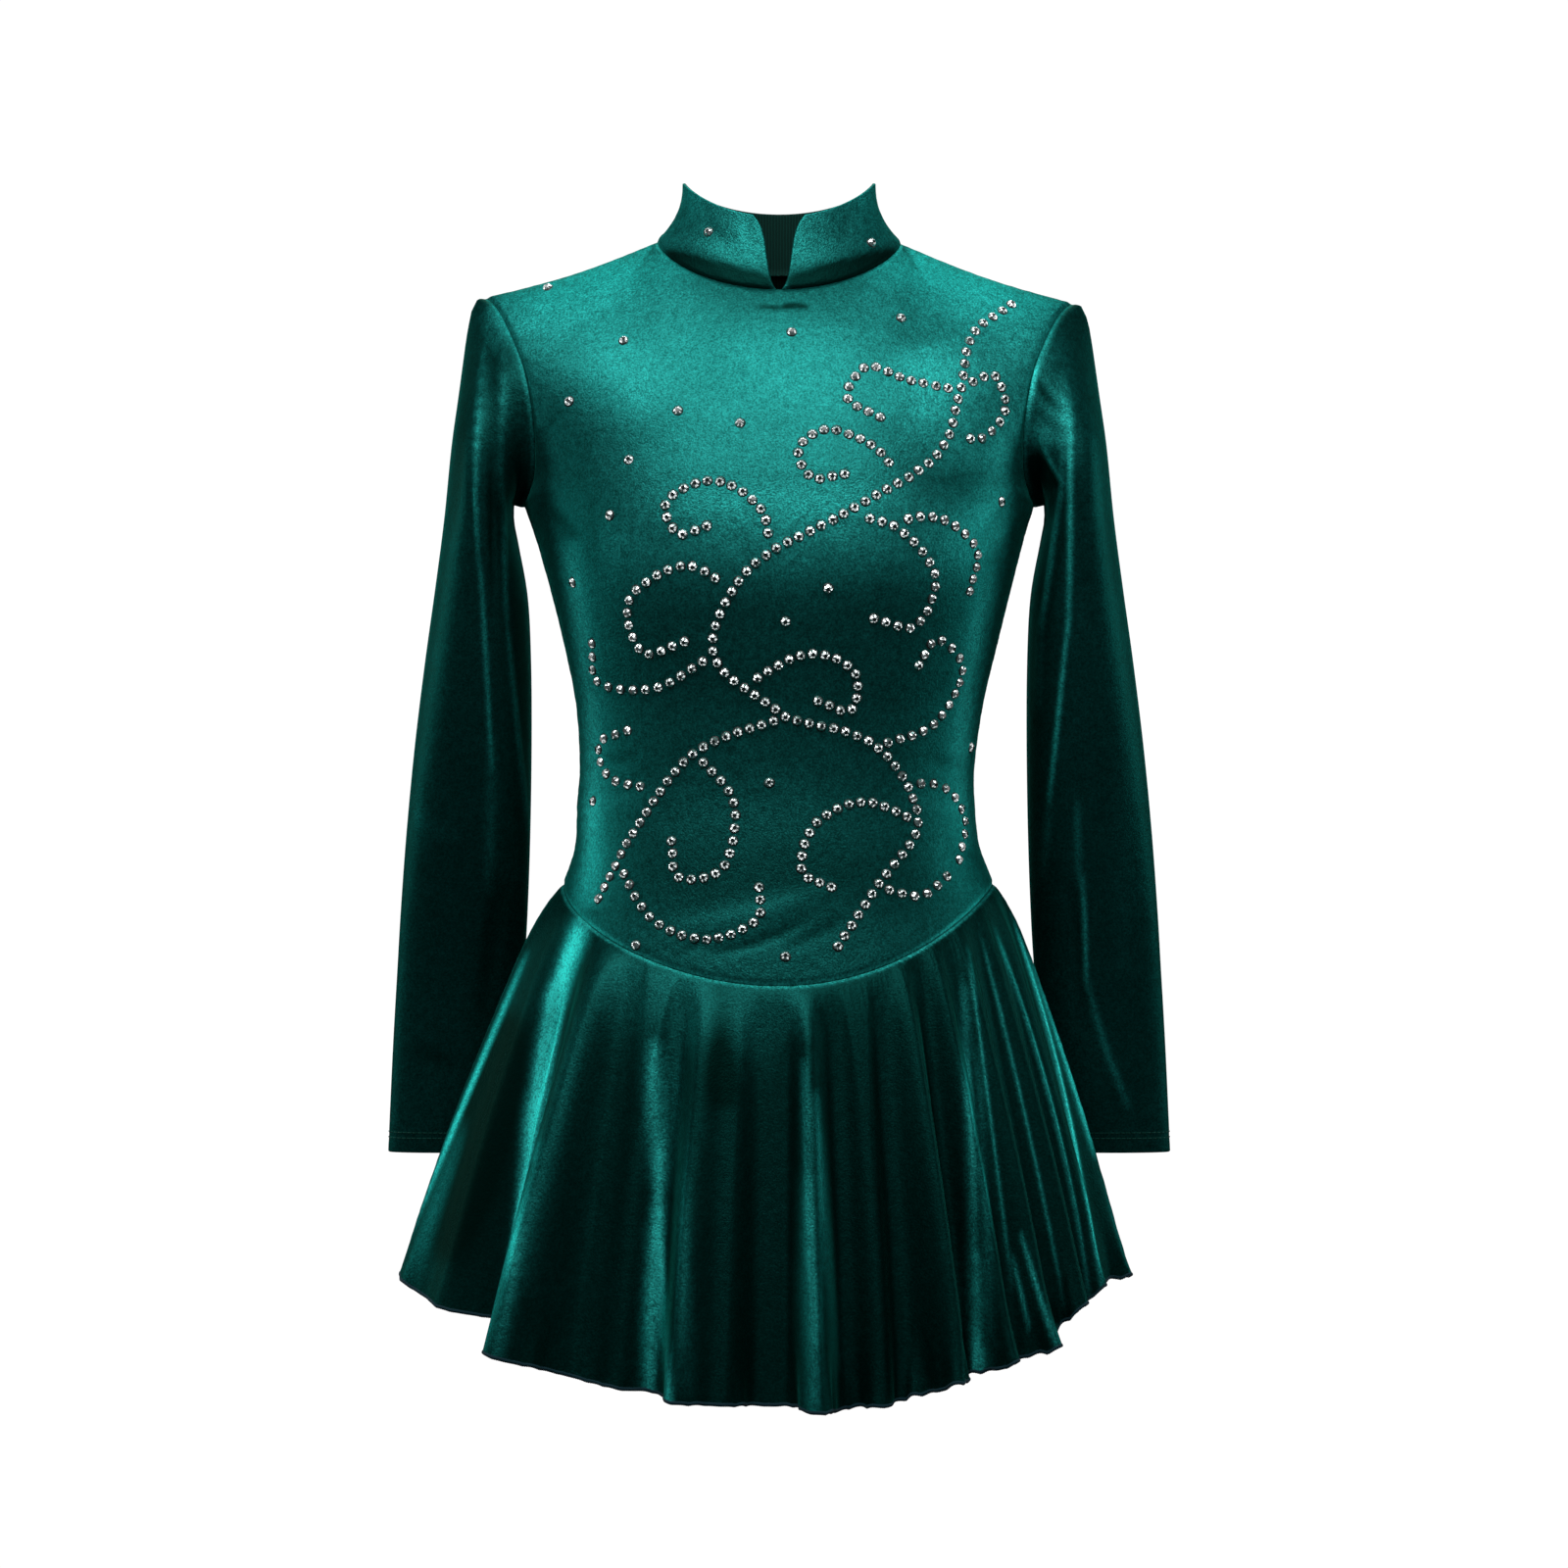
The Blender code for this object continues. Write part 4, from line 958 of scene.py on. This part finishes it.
def make_sleeve(side, name):
    """One sleeve, a tube from the armhole to the twin-needled cuff."""
    places = np.linspace(0, 2, 400)
    around = evenly(lambda at: sleeve(side, at % 2, 4.0), places, (), SLEEVE_ACROSS)[:-1]
    places = np.linspace(0, SLEEVE_KNOTS, 400)
    downs = evenly(lambda down: sleeve(side, 0.5, down), places, cell=SLEEVE_ALONG)
    round_it, down = np.meshgrid(around, downs)
    points = sleeve(side, round_it, down)
    normals = sleeve_normal(side, round_it, down)
    front = around <= 1
    climb = np.where(front, around, 2 - around)
    seams = {"first_row": seam_normal(side * 1.0, between(UNDERARM, TOP, climb), front)[None]}
    to_cuff = distances(points, 0)[1]
    relief = sum(-STITCH_PULL * hump(to_cuff - row, STITCH_PULL_WIDTH) for row in CUFF_STITCH_ROWS)
    pitch = np.linalg.norm(points[:, :1] - points[:, 1:2], axis=-1)
    from_seam = np.minimum(round_it, 2 - round_it) * pitch / around[1]
    relief -= SEAM_ROLL * UNDERARM_ROLL * hump(from_seam, SEAM_ROLL_WIDTH)
    return cloth(
        name, points, normals, seams, ("last_row",), SLEEVE_CREASES, SLEEVE_PAINTED_SHEEN,
        tube=True, relief=relief, seam_highlight=ARMHOLE_PAINTED_HIGHLIGHT,
    )


def make_collar():
    """The stand collar, from one side of the notch round the back to the other."""
    foot = NOTCH_FOOT / NECK_SIDE[0]
    half = evenly(lambda turn: collar(turn, 0.5), np.linspace(foot, math.pi, 200), ("first",))
    turns = np.concatenate([half, -half[-2::-1]])
    ups = evenly(lambda up: collar(1.0, up), np.linspace(0, 1, 100))
    turn, up = np.meshgrid(turns, ups)
    across, front = panel_place(turns)
    seams = {"first_row": seam_normal(across * NECK_SHARE, TOP * 1.0, front)[None]}
    free = ("last_row", "first_column", "last_column")
    return cloth(
        "velvet_collar", collar(turn, up), collar_normal(turn, up), seams, free, COLLAR_CREASES,
        COLLAR_PAINTED_SHEEN, wall=COLLAR_WALL,
    )


def hem_flutes(turn, down, points):
    """Small waves near the overlocked hem."""
    turns, heights = np.array(HEM_FLUTES).T
    height = np.interp(np.degrees(wrapped(turn)), turns, heights)
    run = distances(points[-1:], 1)[0]
    waves = [np.sin(math.tau * run / pitch + k * 2) for k, pitch in enumerate(FLUTE_PITCHES)]
    wave = sum(wave * share for wave, share in zip(waves, FLUTE_SHARES))
    near = np.maximum(0, (down - 1 + FLUTE_DEPTH) / FLUTE_DEPTH) ** FLUTE_GROWTH
    return height * wave * near


def make_skirt(name, low, high):
    """One half of the skirt, between the turns of its side seams in degrees."""
    low, high = math.radians(low), math.radians(high)
    places = np.linspace(low, high, 1200)
    turns = evenly(lambda turn: skirt(turn, 0.9), places, cell=SKIRT_ACROSS)
    downs = evenly(lambda down: skirt(0.05, down), np.linspace(0, 1, 200), cell=SKIRT_ALONG)
    turn, down = np.meshgrid(turns, downs)
    points = skirt(turn, down)
    normals = skirt_normal(turn, down)
    flutes = hem_flutes(turn, down, points)
    from_side = np.minimum(*distances(points, 1))
    points[..., 2] += np.abs(flutes) * FLUTE_RISE * (1 - hump(from_side, CREASE_FADE))
    across, front = panel_place(wrapped(turns))
    seams = {
        "first_row": seam_normal(across, 0.0, front)[None],
        "first_column": normals[:, :1],
        "last_column": normals[:, -1:],
    }
    return cloth(
        name, points, normals, seams, ("last_row",), SKIRT_CREASES, SKIRT_PAINTED_SHEEN,
        relief=flutes, seam_highlight=SEAM_PAINTED_HIGHLIGHT,
    )


def shells(name, vertices, faces, materials):
    """A piece of closed shells, with its faces turned outwards."""
    piece = new_piece(name, vertices, faces, materials)
    form = bmesh.new()
    form.from_mesh(piece.data)
    bmesh.ops.recalc_face_normals(form, faces=form.faces)
    form.to_mesh(piece.data)
    form.free()
    return piece


def tubes(name, rings, material):
    """Closed tubes in one piece: rings holds each tube's rings, and each ring's points."""
    sides = rings.shape[2]
    index = np.arange(rings[..., 0].size).reshape(rings.shape[:3])
    after = np.roll(index, -1, axis=2)
    quads = np.stack([index[:, :-1], index[:, 1:], after[:, 1:], after[:, :-1]], axis=-1)
    faces = quads.reshape(-1, 4).tolist() + index[:, [0, -1]].reshape(-1, sides).tolist()
    piece = shells(name, rings, faces, [material])
    piece.data.shade_smooth()
    return piece


def read_along(at, run, values):
    """Values that go with the points of a line, read at other places of its run."""
    return np.stack([np.interp(at, run, values[:, k]) for k in range(3)], axis=-1)


def resample(line, others, step):
    """A line and the values that go with it, at even steps of its length."""
    run = run_along(line)
    at = np.linspace(0, run[-1], max(2, round(run[-1] / step)) + 1)
    return at, [read_along(at, run, values) for values in (line, *others)]


def make_hem_thread(name, skirt_half):
    """The rolled overlock round a hem: thread wrapped over the edge, ridge after ridge."""
    line = skirt_half.centre[-1]
    outward = skirt_half.outward[-1]
    upward = unit(skirt_half.centre[-HEM_ROWS_UP] - line)
    at, (line, outward, upward) = resample(line, (outward, upward), HEM_THREAD_PITCH / HEM_RINGS)
    angle = math.tau * np.arange(HEM_SIDES) / HEM_SIDES
    wraps = math.tau * at[:, None] / HEM_THREAD_PITCH
    ridge = 1 + HEM_RIDGE * np.cos(wraps + HEM_SLANT * np.sin(angle))
    thick = HEM_THREAD_THICKNESS / 2 * np.cos(angle) * ridge
    tall = HEM_THREAD_HEIGHT / 2 * (np.sin(angle) * ridge + HEM_LIFT)
    rings = line[:, None] + outward[:, None] * thick[..., None] + upward[:, None] * tall[..., None]
    return tubes(name, rings[None], OVERLOCK)


def make_stitches(name, sleeve_cloth):
    """The two rows of straight stitches that a twin needle leaves above the cuff's edge."""
    to_cuff = sleeve_cloth.to_edge[::-1]
    columns = [*range(to_cuff.shape[1]), 0]
    share = np.linspace(0, 1, STITCH_RINGS)
    bulge = np.sin(math.pi * between(*STITCH_BULGE, share))[:, None]
    height_out = STITCH_THICKNESS * STITCH_END * bulge - STITCH_SINK * (1 - bulge)
    radius = STITCH_THICKNESS / 2 * between(STITCH_END, 1, bulge)
    angle = math.tau * np.arange(STITCH_SIDES)[:, None] / STITCH_SIDES
    stitches = []
    for height in CUFF_STITCH_ROWS:
        line, outward = (
            np.array([read_along(height, to_cuff[:, j], values[::-1, j]) for j in columns])
            for values in (sleeve_cloth.outer, sleeve_cloth.outward)
        )
        at, (line, outward) = resample(line, (outward,), STITCH_STEP)
        starts = np.arange(0, at[-1] - STITCH_PITCH / 2, STITCH_PITCH)
        place = starts[:, None] + share * STITCH_LENGTH
        here = read_along(place, at, line)
        ahead = read_along(place + STITCH_STEP, at, line)
        out = unit(read_along(place, at, outward))
        across = unit(np.cross(out, ahead - here))
        spokes = out[..., None, :] * np.cos(angle) + across[..., None, :] * np.sin(angle)
        stitches.append((here + out * height_out)[..., None, :] + spokes * radius[..., None])
    return tubes(name, np.concatenate(stitches), SEWING)


# Stones.

# The drawing in stones is a plain vine. Each line goes through points of the front view, in mm.
VINES = [
    [
        (146, -40), (120, -62), (112, -98), (96, -140),
        (40, -176), (-18, -210), (-40, -262), (4, -300),
    ],
    [(4, -300), (60, -318), (86, -364), (60, -404), (36, -440)],
    [(4, -300), (-52, -322), (-88, -368), (-112, -412)],
    [(112, -98), (80, -92), (54, -84), (42, -104), (62, -116)],
    [(104, -122), (124, -128), (140, -110), (134, -88), (120, -92)],
    [(74, -158), (60, -136), (30, -124), (12, -136), (20, -154), (40, -152)],
    [(40, -176), (74, -186), (96, -214), (84, -244), (58, -240)],
    [(64, -182), (98, -178), (122, -196), (118, -222)],
    [(-4, -203), (-12, -172), (-40, -156), (-68, -168), (-62, -188), (-44, -184)],
    [(-26, -224), (-58, -208), (-92, -228), (-84, -260), (-58, -254)],
    [(-40, -262), (-76, -282), (-112, -278), (-116, -254)],
    [(-26, -284), (16, -262), (46, -272), (44, -296), (24, -290)],
    [(60, -318), (96, -304), (114, -270), (98, -252), (86, -268)],
    [(80, -340), (104, -344), (116, -364), (112, -388)],
    [(-52, -322), (-28, -352), (-34, -392), (-62, -398), (-66, -376)],
    [(-70, -344), (-104, -338), (-112, -316), (-94, -308)],
    [(86, -364), (52, -352), (22, -366), (14, -394), (32, -404)],
    [(-100, -390), (-78, -424), (-44, -436), (-14, -424), (-12, -404)],
    [(60, -404), (88, -410), (104, -398)],
]
SINGLE_STONES = [
    (-146, -28), (-44, 4), (58, -2), (-96, -66), (-130, -104), (-62, -112), (8, -62), (76, -52),
    (-24, -120), (-104, -176), (-128, -216), (30, -222), (138, -166), (120, -318), (-116, -352),
    (4, -242), (-6, -340), (124, -420), (-88, -440), (4, -446), (-92, -142),
]


def vine_line(points):
    """Places a stone's pitch apart along a vine, in metres in the front view."""
    knots = np.array([(x, z, 0) for x, z in points])[:, None, :] / 1000
    places = np.linspace(0, len(knots) - 1, 400)
    fine = spline(knots.repeat(len(places), axis=1), places)
    return resample(fine, (), STONE_PITCH)[1][0][:, :2]


def stone_places():
    """Every stone of the front, none closer to another than its pitch allows."""
    placed = []
    candidates = [point for points in VINES for point in vine_line(points)]
    candidates += [np.array(point) / 1000 for point in SINGLE_STONES]
    for point in candidates:
        if all(np.hypot(*(point - other)) > STONE_PITCH * STONE_CLEARANCE for other in placed):
            placed.append(point)
    return placed


def stone_shape():
    """A round flat-back stone: table, star facets, kites, girdle facets and the foil's edge, which
    is dark with painted shadow, with +Z out. Gives its points, its faces and the material of each
    face."""
    vertices = [
        (
            STONE_RADIUS * reach * math.cos(angle),
            STONE_RADIUS * reach * math.sin(angle),
            STONE_HEIGHT * height,
        )
        for corners, offset, reach, height in STONE_RINGS
        for angle in (np.arange(corners) + offset) * math.tau / corners
    ]
    faces = [tuple(range(8))]
    for k in range(8):
        after, before = (k + 1) % 8, (k - 1) % 8
        faces.append((k, 8 + k, after))
        faces.append((k, 8 + before, 16 + 2 * k, 8 + k))
        faces.append((8 + k, 16 + 2 * k, 17 + 2 * k))
        faces.append((8 + k, 17 + 2 * k, 16 + (2 * k + 2) % 16))
    slots = [1] + [0] * (len(faces) - 1)
    for k in range(16):
        faces.append((16 + k, 32 + k, 32 + (k + 1) % 16, 16 + (k + 1) % 16))
    faces.append(tuple(range(32, 48)))
    return vertices, faces, slots + [2] * 17


def make_stones(name, carriers):
    """All the stones as one joined mesh, each seated square on the cloth under it."""
    shape, shape_faces, shape_slots = stone_shape()
    depsgraph = bpy.context.evaluated_depsgraph_get()
    trees = [BVHTree.FromObject(carrier, depsgraph) for carrier in carriers]
    chance = np.random.default_rng(STONE_SEED)
    vertices, faces, slots = [], [], []
    for x, z in stone_places():
        hits = [tree.ray_cast(Vector((x, -1, z)), Vector((0, 1, 0))) for tree in trees]
        hits = [hit for hit in hits if hit[0] is not None]
        if not hits:
            continue
        seat, outward = min(hits, key=lambda hit: hit[3])[:2]
        tilted = outward + Vector(chance.normal(0, STONE_TILT, 3))
        spin = Matrix.Rotation(chance.uniform(0, math.pi), 3, "Z")
        turned = tilted.to_track_quat("Z", "Y").to_matrix() @ spin
        base = len(vertices)
        vertices += [tuple(turned @ Vector(corner) + seat) for corner in shape]
        faces += [tuple(base + corner for corner in face) for face in shape_faces]
        slots += shape_slots
    piece = shells(name, vertices, faces, STONE_FINISH)
    piece.data.polygons.foreach_set("material_index", slots)
    return piece


# The dress.

bodice_front = make_bodice(True)
bodice_back = make_bodice(False)
collar_band = make_collar()
sleeve_left = make_sleeve(1, "velvet_sleeve_left")
sleeve_right = make_sleeve(-1, "velvet_sleeve_right")
skirt_front = make_skirt("velvet_skirt_front", -90, 90)
skirt_back = make_skirt("velvet_skirt_back", 90, 270)
hem_front = make_hem_thread("hem_overlock_front", skirt_front)
hem_back = make_hem_thread("hem_overlock_back", skirt_back)
stitches_left = make_stitches("cuff_stitches_left", sleeve_left)
stitches_right = make_stitches("cuff_stitches_right", sleeve_right)
stones = make_stones("rhinestones", [bodice_front.piece, collar_band.piece])

for made, node_name, flat, held, extra in [
    (bodice_front, "bodice_front", (0.42, 0.48), "stretched", [stones]),
    (bodice_back, "bodice_back", (0.42, 0.48), "stretched", []),
    (collar_band, "collar", (0.38, 0.05), "stretched", []),
    (sleeve_left, "sleeve_left", (0.24, 0.57), "hung", [stitches_left]),
    (sleeve_right, "sleeve_right", (0.24, 0.57), "hung", [stitches_right]),
    (skirt_front, "skirt_front", (0.75, 0.27), "hung", [hem_front]),
    (skirt_back, "skirt_back", (0.75, 0.27), "hung", [hem_back]),
]:
    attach(made.piece, "root")
    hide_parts(node_name)
for piece, slot in [
    (stones, "rhinestone"),
    (stitches_left, "sewing_thread"),
    (stitches_right, "sewing_thread"),
    (hem_front, "overlock_thread"),
    (hem_back, "overlock_thread"),
]:
    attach(piece, "root")

# Studio.

FLOOR_Z = -1.38
bpy.ops.mesh.primitive_circle_add(
    vertices=96, radius=2.6, fill_type="NGON", location=(0, 0, FLOOR_Z)
)
floor = bpy.context.object
floor.name = "studio_floor"
bpy.ops.object.transform_apply(location=True)
floor.data.materials.append(pale_floor())
floor.visible_glossy = False  # it throws no light back on what shines,
floor.visible_diffuse = False  # nor on anything matt

# The room is dim but for white panels, which only a mirror shows.
world = bpy.data.worlds.new("studio")
bpy.context.scene.world = world
world.use_nodes = True
sky = world.node_tree
around = node(sky, "ShaderNodeTexCoord").outputs["Generated"]
patches = node(sky, "ShaderNodeTexNoise", Vector=around, Scale=2.6, Detail=0.0)
white = node(
    sky, "ShaderNodeMapRange", Value=patches.outputs["Fac"], _1=0.36, _2=0.42, _3=0.0, _4=1.0
)
ahead = node(sky, "ShaderNodeVectorMath", {"operation": "DOT_PRODUCT"}, _0=around, _1=(0, -1, 0))
aside = node(
    sky, "ShaderNodeMapRange", Value=ahead.outputs["Value"], _1=0.46, _2=0.52, _3=1.0, _4=0.0
)
panels = node(
    sky, "ShaderNodeMath", {"operation": "MULTIPLY"},
    _0=white.outputs["Result"], _1=aside.outputs["Result"],
)
panelled = node(
    sky, "ShaderNodeMix", {"data_type": "RGBA"},
    _0=panels.outputs["Value"], _6=(0.03, 0.05, 0.05, 1), _7=(1, 1, 1, 1),
)
dim, mirrored, seen = (
    node(sky, "ShaderNodeBackground", Color=shade, Strength=strength).outputs[0]
    for shade, strength in (
        ((0.93, 0.97, 1, 1), 0.09),
        (panelled.outputs[2], 1.0),
        ((1, 1, 1, 1), 1.05),
    )
)
ray = node(sky, "ShaderNodeLightPath").outputs
lit = node(sky, "ShaderNodeMixShader", _0=ray["Is Singular Ray"], _1=dim, _2=mirrored)
room = node(sky, "ShaderNodeMixShader", _0=ray["Is Camera Ray"], _1=lit.outputs[0], _2=seen)
feed(sky, sky.nodes["World Output"], Surface=room.outputs[0])

Light = namedtuple("Light", "name place target width height power")
for light in [
    Light("key_softbox", (-0.14, -0.85, 0.85), (0, -0.06, -0.2), 1.5, 0.6, 16),
    Light("top_softbox", (0.0, 0.25, 0.75), (0, 0, -0.05), 0.9, 0.9, 4),
    Light("side_softbox_left", (-1.3, 0.25, -0.2), (0, 0, -0.4), 0.7, 0.7, 3.5),
    Light("side_softbox_right", (1.4, 0.2, -0.2), (0, 0, -0.4), 0.7, 0.7, 3.5),
    Light("back_softbox", (0.0, 1.5, 0.9), (0, 0, -0.3), 1.0, 1.0, 6),
]:
    data = bpy.data.lights.new(light.name, "AREA")
    data.shape = "RECTANGLE"
    data.size = light.width
    data.size_y = light.height
    data.energy = light.power
    lamp = add_object(light.name, data)
    lamp.location = light.place
    aim = Vector(light.target) - Vector(light.place)
    lamp.rotation_euler = aim.to_track_quat("-Z", "Y").to_euler()

# The camera stands in front at mid height, far enough off that the dress looks nearly flat on.
camera = add_object("camera", bpy.data.cameras.new("camera"))
CAMERA_AWAY = 3.0
FRAME_WIDTH = 0.992  # what the picture spans at the origin
camera.location = (0.0031, -CAMERA_AWAY, -0.341)
camera.rotation_euler = (math.pi / 2, 0, 0)
camera.data.lens = camera.data.sensor_width * CAMERA_AWAY / FRAME_WIDTH
bpy.context.scene.camera = camera
bpy.context.scene.view_settings.view_transform = "Standard"
